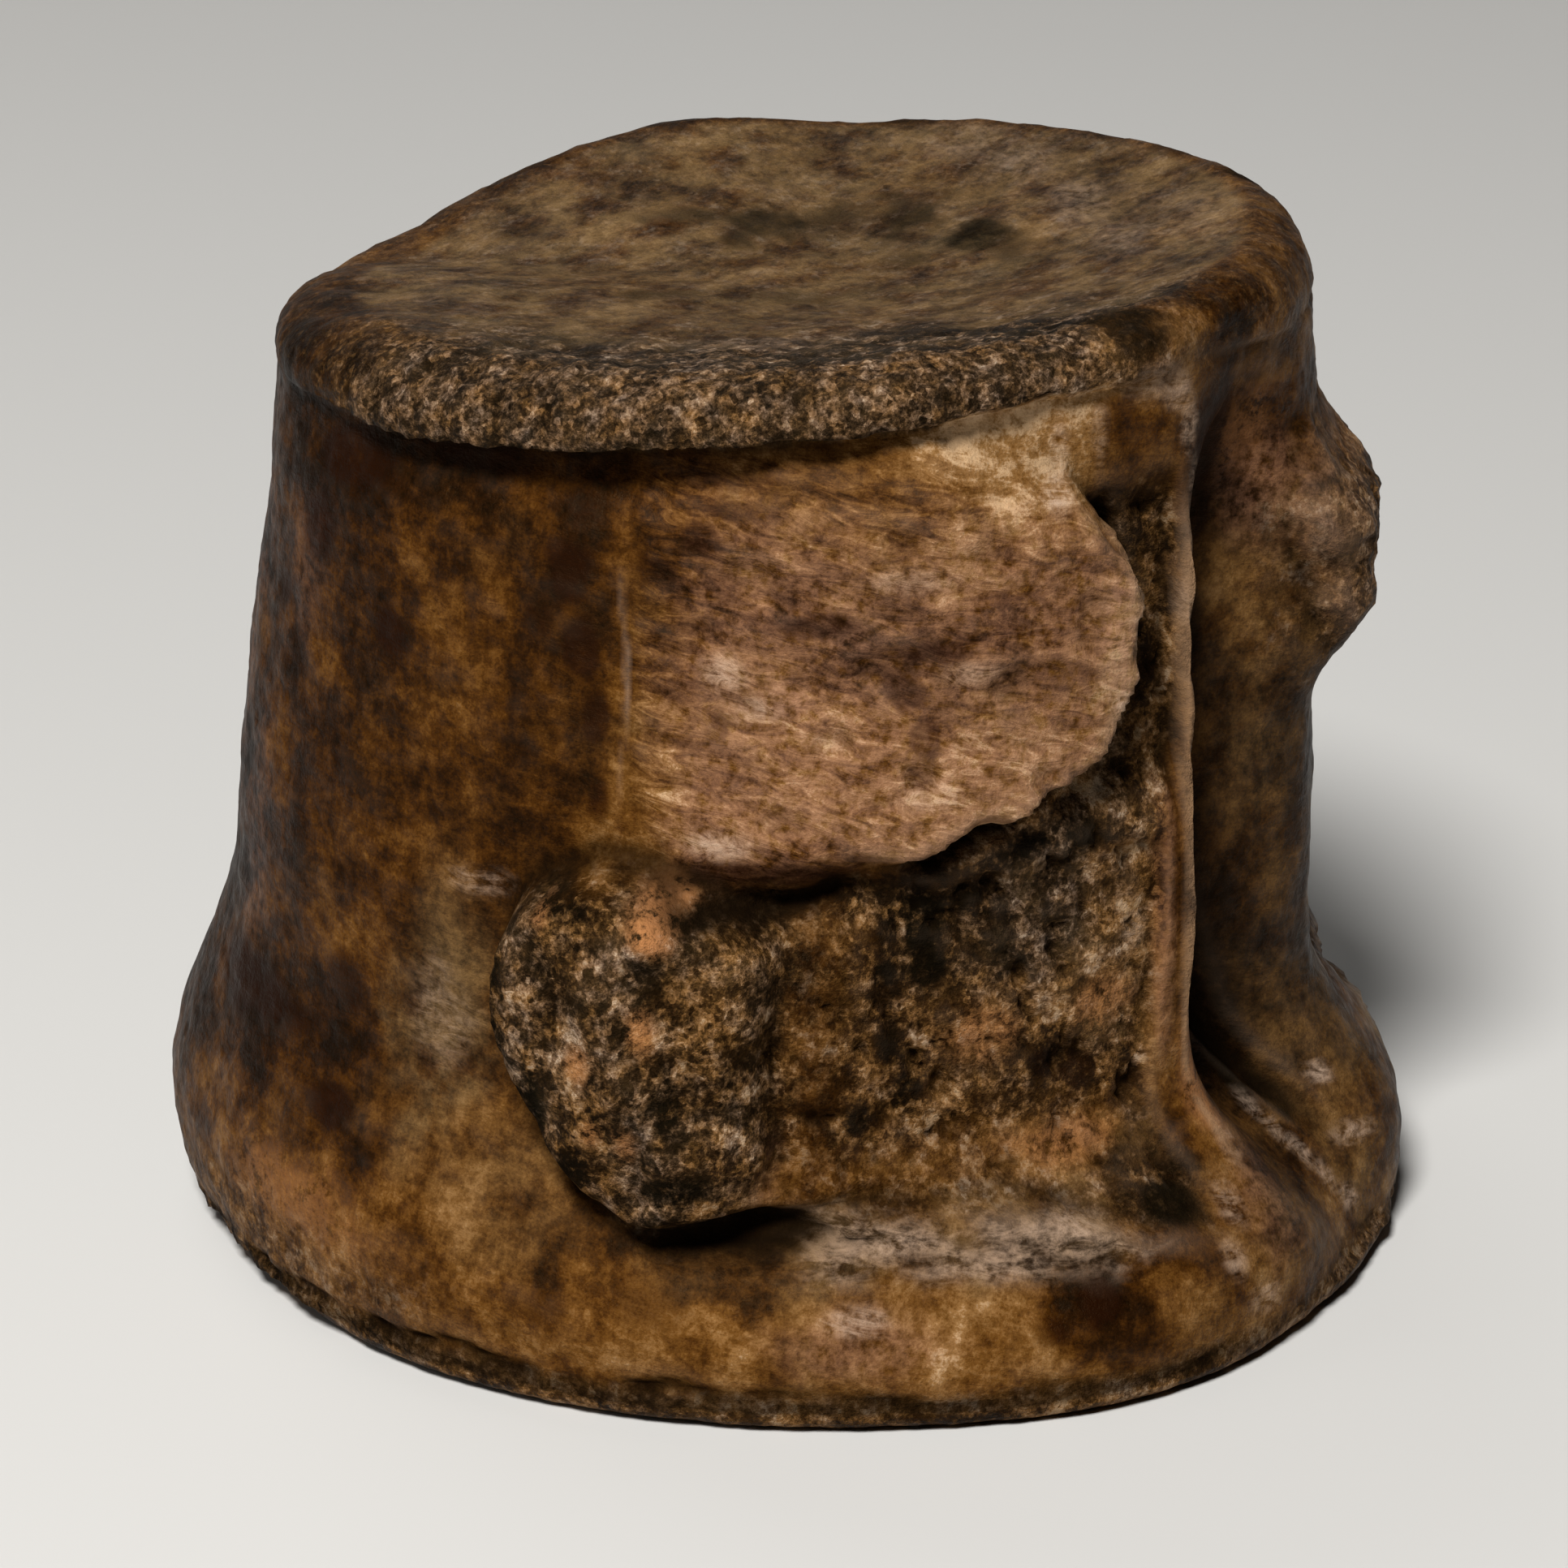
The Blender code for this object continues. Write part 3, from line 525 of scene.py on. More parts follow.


# Stains and wear, with painted highlights among the pale patches and painted shade among the green ones:
# angle, height, half width round in degrees, half height in millimetres, strength

stains = dict(
    dark=[(81, 19.7, 3.2, 1.1, 0.9), (79, 17.9, 2.4, 0.9, 1.0), (77.3, 16.3, 2.0, 0.7, 0.8),
          (76.8, 14.4, 1.6, 0.7, 0.7), (84.5, 18.4, 2.4, 0.7, 0.5), (70, 19.9, 3.6, 0.7, 0.6),
          (66, 20.6, 3.4, 0.5, 0.6), (62, 21.3, 5, 0.4, 0.6), (80, 21, 5, 0.7, 0.5),
          (117, 19.2, 4.5, 1.1, 0.75), (104, 17.3, 3.2, 0.7, 0.8), (112, 21, 10, 0.9, 0.8),
          (95, 21.8, 9, 0.6, 0.7), (126, 17.2, 3, 0.6, 0.6), (124, 7.3, 13, 0.9, 0.8),
          (107, 8.7, 3.5, 0.7, 0.5), (106, 5.7, 4, 0.6, 0.7), (131, 10.8, 5, 0.8, 0.35),
          (28, 2.7, 3.2, 0.6, 1.0), (33, 2.3, 2, 0.4, 0.6), (70, 3.0, 5, 0.7, 0.4),
          (78, 2.6, 3, 0.6, 0.4), (54, 18.8, 5, 0.45, 0.9), (42, 18.2, 6, 0.4, 0.8),
          (44.5, 17.2, 2.6, 0.6, 0.75), (42.5, 16.3, 2.0, 0.6, 0.7), (33, 19.2, 4, 0.3, 0.5),
          (64, 16.3, 1.8, 0.5, 0.6), (28, 17.3, 5, 0.5, 0.4), (60, 21.9, 8, 0.4, 0.6),
          (66, 17, 2, 0.8, 0.35), (23, 7.2, 2.6, 0.45, 1.1), (27.3, 7.5, 2.2, 0.4, 1.0),
          (4, 21, 6, 2.2, 0.7), (-5, 20.8, 1.8, 1.6, 0.7), (58, 12.9, 10, 0.35, 0.7),
          (12.4, 11.5, 0.9, 2.0, 0.7), (4, 11.5, 1.3, 1.3, 0.5), (-46, 15, 10, 3, 0.5),
          (-70, 7, 10, 2, 0.5), (-100, 19, 14, 2.5, 0.6), (-140, 9, 16, 3, 0.5), (170, 17, 12, 3, 0.5),
          (160, 5, 12, 1.5, 0.4), (-165, 20, 10, 2, 0.6)],
    # green: dark green marks, and painted shade in crevices: in the canal, in the recess beside the plate's
    # end and under the plate's edge
    greenAndShade=[(42, 11.5, 3.2, 0.9, 1.3), (41, 10.4, 2.6, 0.5, 1.1), (46.5, 10.4, 1.8, 0.4, 1.0),
           (32, 13.0, 7, 0.4, 1.0), (22, 13.1, 6, 0.45, 0.8), (17, 14.6, 3, 1.2, 0.8),
           (12.5, 16.5, 2, 1.5, 0.8), (46, 8.6, 2.2, 0.7, 0.7), (43.5, 7.4, 2.5, 0.6, 0.8),
           (49, 6.9, 2, 0.5, 0.7), (17.5, 4.0, 3.5, 0.6, 0.9), (17, 7.3, 1.5, 0.5, 0.8),
           (78, 12.4, 5, 0.4, 0.9), (84, 9.6, 1.8, 2.0, 1.1), (80.5, 7.6, 2, 1.2, 1.0),
           (76, 6.1, 2.5, 0.7, 0.8), (67, 8.0, 1.8, 1.3, 0.8), (66, 5.8, 3.2, 0.5, 0.9),
           (79, 10.8, 2.5, 0.8, 0.5), (69, 11.3, 3, 0.4, 0.5), (36, 11.9, 3, 0.4, 0.5),
           (-8, 5.4, 2, 1.2, 0.8), (-12, 4.2, 2, 0.6, 0.8), (2, 17.5, 1.5, 2, 0.4),
           (-4, 16.8, 2, 1.5, 0.6), (-6, 19.5, 1.5, 1, 0.5)],
    # pale: pale wear and bone, and painted highlights: glints on the plate, and streaks of light down the
    # canal's floor and beside its ridge
    pale=[(27, 21.4, 2, 0.45, 1.0), (63, 17.5, 3, 0.5, 0.7), (59.5, 16.8, 3, 0.35, 0.6),
          (63.5, 13.6, 4, 0.35, 0.8), (44, 19.8, 5, 0.3, 0.4), (37.5, 17.6, 4, 0.3, 0.4),
          (42, 14.8, 4, 0.35, 0.4), (17, 18, 2.2, 1.5, 0.8), (20.5, 16.2, 2, 0.5, 0.8),
          (50, 2.7, 3, 0.3, 0.7), (30, 4.1, 7, 0.3, 0.6), (46, 4.1, 5, 0.25, 0.6), (38, 3.6, 7, 0.3, 0.5),
          (-7.7, 4.3, 1.3, 0.4, 0.7), (-8.4, 3.7, 1.3, 0.4, 0.7), (-9.4, 3.1, 1.3, 0.4, 0.75),
          (-10.6, 2.5, 1.5, 0.4, 0.75), (-12.8, 1.8, 2, 0.4, 0.6), (-17.4, 4.5, 1.6, 0.3, 0.8),
          (-17.4, 3.0, 3, 0.25, 0.7), (7, 4.7, 1.5, 0.5, 0.4), (10.5, 3.8, 1.6, 0.6, 0.5),
          (13, 2.7, 1.6, 0.5, 0.5), (10.3, 1.6, 2.4, 0.35, 0.5), (8.6, 18.2, 1.0, 0.7, 0.6),
          (7, 19.5, 1.2, 0.8, 0.7), (6.2, 20.8, 1.4, 0.8, 0.7), (7.4, 22.2, 2, 0.8, 0.7),
          (9.5, 23.2, 2.4, 0.5, 0.6), (16, 10.4, 1.6, 0.4, 0.6), (90, 12, 4, 0.3, 0.5),
          (94, 8.6, 4, 1.4, 0.3), (13, 23.6, 4, 0.5, 0.5), (25.5, 22.3, 1.4, 0.9, 0.5),
          (20.5, 22.7, 1.2, 1.0, 0.35)],
    rust=[(68.5, 12.2, 2.8, 0.65, 1.1), (69, 9.7, 1.3, 0.6, 0.7), (74.5, 8.8, 1.2, 0.5, 0.6),
          (12.5, 11, 1.2, 3.2, 0.3), (70.5, 7.0, 1.3, 0.5, 0.6), (73.5, 7.2, 1.0, 0.4, 0.5),
          (79, 12.2, 1, 0.3, 0.6), (8, 6.5, 2.5, 1.6, 0.5), (110, 3.2, 14, 1.2, 0.35),
          (36, 8.6, 5, 0.7, 0.5), (20, 8.8, 4, 0.7, 0.5), (26, 5.6, 8, 0.5, 0.5),
          (-10, 21.6, 4, 1.2, 0.4)],
    rosy=[(21, 17.8, 4, 2.4, 0.9), (34, 18.6, 5, 0.5, 0.6), (50, 18.5, 7, 0.6, 0.8),
          (57, 17, 5, 0.9, 0.8), (44, 16.2, 3, 0.8, 0.6), (62, 14.4, 6, 0.9, 0.5),
          (30, 15.6, 7, 0.8, 0.5), (66, 18.6, 3, 1.2, 0.4), (140, 16, 8, 6, 0.6), (128, 11, 6, 3, 0.4),
          (50, 2.2, 8, 0.8, 0.4), (12, 11, 1.6, 4, 0.5), (-12, 20, 6, 2, 0.6), (6, 3.5, 4, 1.5, 0.4),
          (60, 6, 3, 1.2, 0.5), (120, 18, 5, 2, 0.3), (-70, 14, 12, 4, 0.4), (-120, 10, 14, 4, 0.4),
          (180, 12, 16, 4, 0.4)],
)

# Marks on the upper face: millimetres to the camera's right and away from it, half widths of both, strength
topMarks = dict(
    dark=[(-3, 5.2, 1.4, 0.8, 0.7), (-1, 4.6, 1.3, 1.6, 0.8), (1, 5.0, 1.4, 1.2, 0.5),
          (2.8, 4.9, 0.9, 1.8, 0.75), (4.5, 2.5, 1.2, 1.2, 0.95), (5.2, 1.4, 0.9, 1.0, 0.5),
          (2.3, 1.6, 1.4, 1.2, 0.5), (-3.2, -0.9, 1.3, 0.8, 0.6), (0.4, -0.9, 3.0, 0.8, 0.4),
          (-6.8, 5.2, 0.8, 0.6, 0.35), (-7, 9.2, 1.2, 0.6, 0.4), (3.6, 10.7, 1.4, 0.3, 0.6),
          (10.9, 3.4, 0.5, 0.8, 0.7), (9.4, 6, 0.5, 1.0, 0.4), (7.2, -8.6, 1.4, 1.2, 0.9),
          (1.6, -7.6, 0.6, 0.4, 0.5)],
    pale=[(4.2, 9.2, 1.2, 1.4, 0.4), (5.6, 6.8, 1.0, 1.6, 0.45), (7.0, 3.6, 0.8, 2.2, 0.5),
          (7.8, 0.2, 0.7, 2.0, 0.4), (9.3, 0.5, 1.2, 3.0, 0.25), (-8.9, -1.7, 0.35, 0.5, 1.0),
          (-1.0, -6.8, 3.0, 0.8, 0.35)],
)


# Rounded patches, each 1 at its middle, with edges broken up by noise; the highest one counts.
def patches(places, across, along, points, wrap=False, fray=0.5):
    broken = fray * crumple(points, 1.5, 71, 4)
    total = np.zeros(across.shape)
    for middle, level, halfAcross, halfAlong, strength in places:
        step = turnFrom(across, middle) if wrap else across - middle
        away = np.hypot(step / halfAcross, (along - level) / halfAlong)
        total = np.maximum(total, strength * ease(1.3, 0.3, away + broken))
    return total


# Millimetres to the camera's right of the middle, and away from the camera: x and y turned by its azimuth.
def fromCamera(points):
    turn = math.radians(studio["azimuth"])
    aside = points[..., 0] * math.cos(turn) + points[..., 1] * math.sin(turn)
    away = points[..., 1] * math.cos(turn) - points[..., 0] * math.sin(turn)
    return aside, away


# Colour masks: the painted tone and grey, mixed over to those of the lip, the top, the foot and the knob
# by their masks, and the patches of each kind of stain, painted highlight and painted shade, kept to the side
# or the top.
def colourMasks(angle, points, masks):
    height = points[..., 2]
    loose = crumple(points, 2.4, 81, 3)
    looser = crumple(points, 2.4, 84, 3)
    looseAngle, looseHeight = angle + 4.5 * loose, height + 0.8 * looser
    tone, grey = placedTone(looseAngle, looseHeight)
    farTone, farGrey = placedTone(2 - looseAngle, looseHeight)
    swap = ease(-26, -38, angle)
    tone, grey = tone + (farTone - tone) * swap, grey + (farGrey - grey) * swap
    aside, away = fromCamera(points)
    top, foot = masks["top"], masks["foot"]
    side = (1 - top) * (1 - foot)
    lipOnly = masks["lip"] * (1 - top)

    def stained(name, fray=0.5):
        return patches(stains[name], angle, height, points, True, fray)

    plateRosy = 0.6 * masks["plate"] * ease(74, 64, angle + 4 * loose) * ease(23.5, 19, height + loose)
    topDark = patches(topMarks["dark"], aside, away, points, fray=0.9) * np.maximum(0.85 * top, lipOnly)
    topPale = 0.45 * patches(topMarks["pale"], aside, away, points) * top
    # The dark green mask also carries painted shade in crevices, and the pale mask also carries painted
    # highlights.
    marked = dict(stain=stained("dark") * side, rust=stained("rust") * side,
                  rosy=np.maximum(stained("rosy"), plateRosy) * side,
                  darkGreenAndShade=np.maximum(stained("greenAndShade") * side, topDark),
                  pale=np.maximum(stained("pale", 0.35) * side, topPale))

    roughLip = masks["rough"] * (lipOnly > 0.5)
    topTone = 0.42 + 0.12 * loose - 0.14 * masks["towardsFront"]
    tone = np.where(top > 0, topTone, tone + (0.4 - tone) * roughLip)
    grey = np.where(top > 0, 0.7, grey + (0.5 - grey) * roughLip)
    tone = np.where(foot > 0, 0.4, tone)
    tone = tone + 0.07 * crumple(points, 2.2, 91, 3) + 0.05 * crumple(points, 0.9, 94, 3)
    knob = masks["knob"]
    tone = tone + (0.41 + 0.1 * loose - tone) * knob
    grey = grey + (0.35 + 0.6 * looser - grey) * knob
    marked.update(tone=np.clip(tone, 0, 1), grey=np.clip(grey + 0.15 * looser, 0, 1))
    return marked


# The whole surface: plain form, plus the flank's relief along the radius, plus grain along the normals.
# Hollows, which are given painted shade, and edges, which are made lighter as wear and painted highlight, are
# found as the difference between the relief and its mean nearby.
def buildSurface():
    angle = columnAngles()[None, :]
    radius, height, zones = plainSurface(angle)
    angle = angle + 0 * radius
    zone = zones[:, None] + 0 * radius
    onFlank = zone == 3
    relief, masks = flankRelief(angle, height, radius)
    relief = np.where(onFlank, relief * ease(0.42, 0.9, height), 0)
    # the canal's ends run out through both rims
    endNotch = -0.35 * hump(turnFrom(angle, 0), 0, 16) * (zone == 4) * ease(0, 1, (24.9 - height))
    normals = gridNormals(inSpace(angle, radius + endNotch, height))
    radius = radius + relief + endNotch
    points = inSpace(angle, radius, height)

    # where each kind of surface is
    keep = {name: np.where(onFlank, mask, 0) for name, mask in masks.items()}
    loose = crumple(points, 3.0, 61, 3)
    belowLip = lipEdge(angle)[0] - height
    lip = np.where(zone == 4, 1.0, 0.0) + np.where(onFlank, ease(0.5, 0.1, belowLip + 0.2 * loose), 0)
    top = np.where(zone == 5, 1.0, 0.0)
    quiet = 0.5 * hump(keep["side"], 54, 5) + 0.45 * ease(6.9, 5.6, height + 0.4 * loose)
    seat = keep["seat"] * (1 - np.clip(quiet, 0, 0.6))
    rough = 1 - ease(38, 60, np.abs(turnFrom(angle, 66)) + 8 * loose)  # the upper lip's worn side
    foot = np.where(zone < 2.5, 1.0, 0.0)
    footRim = np.where(onFlank, ease(1.15, 0.75, height + 0.15 * loose), 0) + foot
    away = fromCamera(points)[1]
    towardsFront = top * ease(-3.5, -9.5, away + 1.5 * loose)
    lowLeft = np.where(onFlank, hump(turnFrom(angle, 122), 0, 48) * ease(3.8, 1.4, height + 0.7 * loose), 0)
    spongy = 0.95 * keep["knob"] + 0.8 * seat + (0.3 + 0.7 * rough) * lip + 0.14 * top + 0.75 * towardsFront
    spongy = np.clip(spongy + 0.8 * footRim + 0.55 * lowLeft + keep["swelling"], 0, 1)
    fibrous = np.clip(keep["plate"] + 0.25 * onFlank * (1 - keep["canal"]), 0, 1) * (1 - spongy)
    spongy = np.maximum(spongy, 0.85 * keep["rubble"])
    pitted = 0.7 * keep["rubble"] + 0.8 * keep["seat"] + 0.35 * keep["knob"] + 0.5 * keep["swelling"]
    masks = dict(keep, rough=rough, towardsFront=towardsFront, spongy=spongy, fibrous=fibrous, lip=lip,
                 top=top, foot=foot, pitted=np.clip(pitted, 0, 1))

    # the foot stays on the ground, so its grain only goes inwards
    grain = grainRelief(points, masks)
    settle = np.where(zone < 1.5, -np.abs(grain) * (zone == 0), grain * np.where(zone == 2, 0.3, 1))
    points = points + normals * settle[..., None]
    points[..., 2] = np.maximum(points[..., 2], 0)

    total = relief + settle
    # painted shade in hollows, where the relief lies below its mean nearby
    hollow = np.where(foot > 0, 0, softened(total, 3) - total)
    masks["hollow"] = np.clip(hollow / 0.2, 0, 1)
    # edges that stand above the mean nearby are made lighter: partly wear, partly painted highlight
    masks["edge"] = np.clip(-hollow / 0.16, 0, 1) * (1 - 0.8 * spongy) * (1 - ease(0.02, 0.2, keep["moat"]))
    # painted shadow under the upper lip's overhang
    underLip = hump(belowLip + 0.15 * loose, 0.28, 0.5) * onFlank
    underLip = underLip * (1 - ease(16, 30, np.abs(turnFrom(angle, 75))))
    # painted shade on the low band above the foot, which faces down, strongest on the camera's side
    rimShade = (0.3 + 0.65 * ease(62, 40, np.abs(turnFrom(angle, 60)))) * footRim * (1 - foot)
    # painted shade: under the knob, under the plate's edge, in the recess, in the groove above the foot,
    # under the lip, in the canal's gully and deep floor, and on the low band
    shade = keep["shade"] + keep["slot"] + 0.45 * keep["recess"] + 0.8 * keep["rimGroove"] + underLip
    masks["shade"] = np.clip(shade + 0.75 * keep["gully"] + rimShade, 0, 1)
    masks.update(colourMasks(angle, points, masks))
    return points, masks


print("working out the bone's surface")
surfacePoints, surfaceMasks = buildSurface()


# Grid of rings to a closed mesh: quads between rings, and a fan of triangles to a middle point at each end.
def closedMesh(name, points):
    ringCount, columnCount = points.shape[:2]
    flat = points.reshape(-1, 3)
    ends = np.array([[0, 0, points[0, :, 2].mean()], [0, 0, points[-1, :, 2].mean()]])
    vertices = np.concatenate([flat, ends]) * millimetre
    column = np.arange(columnCount)
    following = (column + 1) % columnCount
    base = (np.arange(ringCount - 1) * columnCount)[:, None]
    quads = np.stack([base + column, base + following, base + columnCount + following,
                      base + columnCount + column], -1).reshape(-1, 4)
    bottom = np.stack([following, column, np.full(columnCount, len(flat))], -1)
    lastRing = (ringCount - 1) * columnCount
    top = np.stack([lastRing + column, lastRing + following, np.full(columnCount, len(flat) + 1)], -1)
    mesh = bpy.data.meshes.new(name)
    mesh.from_pydata(vertices.tolist(), [], quads.tolist() + bottom.tolist() + top.tolist())
    mesh.update()
    mesh.shade_smooth()
    return mesh


# One number for each vertex, for the material to read. The two end points repeat their ring's mean.
def paintMask(mesh, name, mask):
    values = np.concatenate([mask.reshape(-1), [mask[0].mean(), mask[-1].mean()]]).astype(np.float32)
    mesh.attributes.new(name, "FLOAT", "POINT").data.foreach_set("value", values)


boneMesh = closedMesh("vertebra", surfacePoints)
for maskName in ("tone", "grey", "spongy", "fibrous", "shade", "hollow", "edge", "hairline", "ridge",
                 "stain", "darkGreenAndShade", "pale", "rust", "rosy", "folds", "lip"):
    paintMask(boneMesh, maskName, surfaceMasks[maskName])
bone = bpy.data.objects.new("vertebra", boneMesh)
bpy.context.scene.collection.objects.link(bone)
print("bone mesh made:", len(boneMesh.polygons), "faces")


# Finish of the bone. Colours are written as they look on a screen, 0 to 255.

boneFinish = dict(
    tones=[(0.0, (16, 6, 1)), (0.2, (34, 16, 3)), (0.4, (60, 33, 6)), (0.6, (90, 57, 20)),
           (0.8, (122, 87, 48)), (1.0, (176, 144, 108))],
    greys=((12, 11, 5), (124, 107, 76)), roses=((34, 12, 6), (162, 118, 92)),
    grains=[(0.26, (4, 3, 1)), (0.42, (32, 20, 8)), (0.56, (68, 47, 22)), (0.7, (108, 76, 42)),
            (0.84, (138, 104, 68)), (0.96, (164, 134, 100))],
    greyGrains=[(0.3, (3, 4, 3)), (0.44, (26, 22, 17)), (0.58, (60, 50, 42)), (0.7, (98, 84, 74)),
                (0.82, (132, 116, 100)), (0.94, (172, 156, 140))],
    foldDark=(20, 13, 7), foldCream=(142, 118, 97), rust=(164, 110, 66), ridge=(136, 106, 78),
    # dark is the colour of painted shade and of fine pits; cream is that of pale wear and painted highlights;
    # the near-black green is that of dark green marks and of painted shade
    stain=(34, 12, 3), darkGreenAndShade=(10, 10, 5), dark=(10, 5, 2), cream=(170, 144, 122), shineTint=(255, 214, 160),
    # sizes in millimetres
    streakSize=1.1, cloudSize=1.3, broadSize=2.6, fineSize=0.3, dustSize=0.07,
    speckSize=0.19, clusterSize=0.75, fineSpeckSize=0.17, foldSize=0.9, bumpSize=0.15, bumpHeight=0.06,
    streakStretch=(1, 1, 3.4), streakTurn=(-9, -9, 0), foldStretch=(1, 1, 3.6),
    # how far each kind of noise moves the tone
    streakSwing=1.7, cloudSwing=0.95, broadSwing=0.5, fineSwing=0.85, dustSwing=0.4,
    crumbSwing=1.1, clusterSwing=1.5, fineSpeckSwing=0.34, speckDustSwing=0.35,
    # how strongly each colour covers what is under it
    rosyShare=0.85, greyShare=0.65, grainShare=0.9, foldShare=0.75, rustShare=0.75, edgeWearAndHighlightShare=0.12,
    hairlineShare=0.2, hollowShadeShare=0.75, shadeShare=0.85, pitShare=0.4,
    smoothRoughness=0.42, roughRoughness=0.5, dullness=0.45, shine=0.045,
)


# A screen colour of 0 to 255 as the light values that a shader takes.
def asLight(colour):
    parts = [part / 255 for part in colour]
    return [part / 12.92 if part <= 0.04045 else ((part + 0.055) / 1.055) ** 2.4 for part in parts] + [1]


# A material, with short ways to add the nodes that a finish is made of.
class Finish:
    def __init__(self, name):
        self.material = bpy.data.materials.new(name)
        self.material.use_nodes = True
        self.tree = self.material.node_tree
        self.surface = self.tree.nodes["Principled BSDF"]
        self.place = self.tree.nodes.new("ShaderNodeTexCoord").outputs["Object"]

    # a link where the value is another node's result, else a plain value
    def put(self, socket, value):
        if isinstance(value, bpy.types.NodeSocket):
            self.tree.links.new(value, socket)
        else:
            socket.default_value = value

    # one of the masks painted on the mesh
    def mask(self, name):
        node = self.tree.nodes.new("ShaderNodeAttribute")
        node.attribute_name = name
        return node.outputs["Fac"]

    # one step of arithmetic, kept from 0 to 1 where clamp is set
    def sums(self, operation, first, second=0.0, clamp=False):
        node = self.tree.nodes.new("ShaderNodeMath")
        node.operation = operation
        node.use_clamp = clamp
        self.put(node.inputs[0], first)
        self.put(node.inputs[1], second)
        return node.outputs[0]

    def times(self, first, second):
        return self.sums("MULTIPLY", first, second)

    # base + value, or base + value * amount
    def plus(self, base, value, amount=None, clamp=False):
        return self.sums("ADD", base, value if amount is None else self.times(value, amount), clamp)

    # noise around zero: (value - 0.5) * amount
    def swing(self, value, amount):
        return self.times(self.sums("SUBTRACT", value, 0.5), amount)

    # place turned by some degrees, then squeezed: noise read there comes out as slanting streaks
    def stretch(self, scale, turn=(0, 0, 0)):
        turning = self.tree.nodes.new("ShaderNodeMapping")
        turning.inputs["Rotation"].default_value = [math.radians(part) for part in turn]
        self.put(turning.inputs["Vector"], self.place)
        scaling = self.tree.nodes.new("ShaderNodeMapping")
        scaling.inputs["Scale"].default_value = scale
        self.put(scaling.inputs["Vector"], turning.outputs["Vector"])
        return scaling.outputs["Vector"]

    # noise from 0 to 1 whose largest blotches are of a size in millimetres
    def noise(self, size, detail=3.0, roughness=0.55, distortion=0.0, place=None):
        node = self.tree.nodes.new("ShaderNodeTexNoise")
        self.put(node.inputs["Vector"], place or self.place)
        node.inputs["Scale"].default_value = 1 / (size * millimetre)
        node.inputs["Detail"].default_value = detail
        node.inputs["Roughness"].default_value = roughness
        node.inputs["Distortion"].default_value = distortion
        return node.outputs["Fac"]

    # one random value in each cell of a size in millimetres
    def specks(self, size):
        node = self.tree.nodes.new("ShaderNodeTexVoronoi")
        self.put(node.inputs["Vector"], self.place)
        node.inputs["Scale"].default_value = 1 / (size * millimetre)
        return node.outputs["Color"]

    # 0 at low, 1 at high, smooth between
    def steps(self, value, low, high):
        node = self.tree.nodes.new("ShaderNodeMapRange")
        node.interpolation_type = "SMOOTHSTEP"
        self.put(node.inputs["Value"], value)
        node.inputs["From Min"].default_value = low
        node.inputs["From Max"].default_value = high
        return node.outputs["Result"]

    # first * (1 - share) + second * share
    def mix(self, share, first, second):
        node = self.tree.nodes.new("ShaderNodeMix")
        node.data_type = "RGBA"
        self.put(node.inputs[0], share)
        self.put(node.inputs[6], asLight(first) if isinstance(first, tuple) else first)
        self.put(node.inputs[7], asLight(second) if isinstance(second, tuple) else second)
        return node.outputs[2]

    # the colour at a value, mixed from the stops on either side of it
    def ramp(self, value, stops):
        node = self.tree.nodes.new("ShaderNodeValToRGB")
        self.put(node.inputs["Fac"], value)
        node.color_ramp.elements.remove(node.color_ramp.elements[1])
        node.color_ramp.elements[0].position = stops[0][0]
        node.color_ramp.elements[0].color = asLight(stops[0][1])
        for position, colour in stops[1:]:
            node.color_ramp.elements.new(position).color = asLight(colour)
        return node.outputs["Color"]
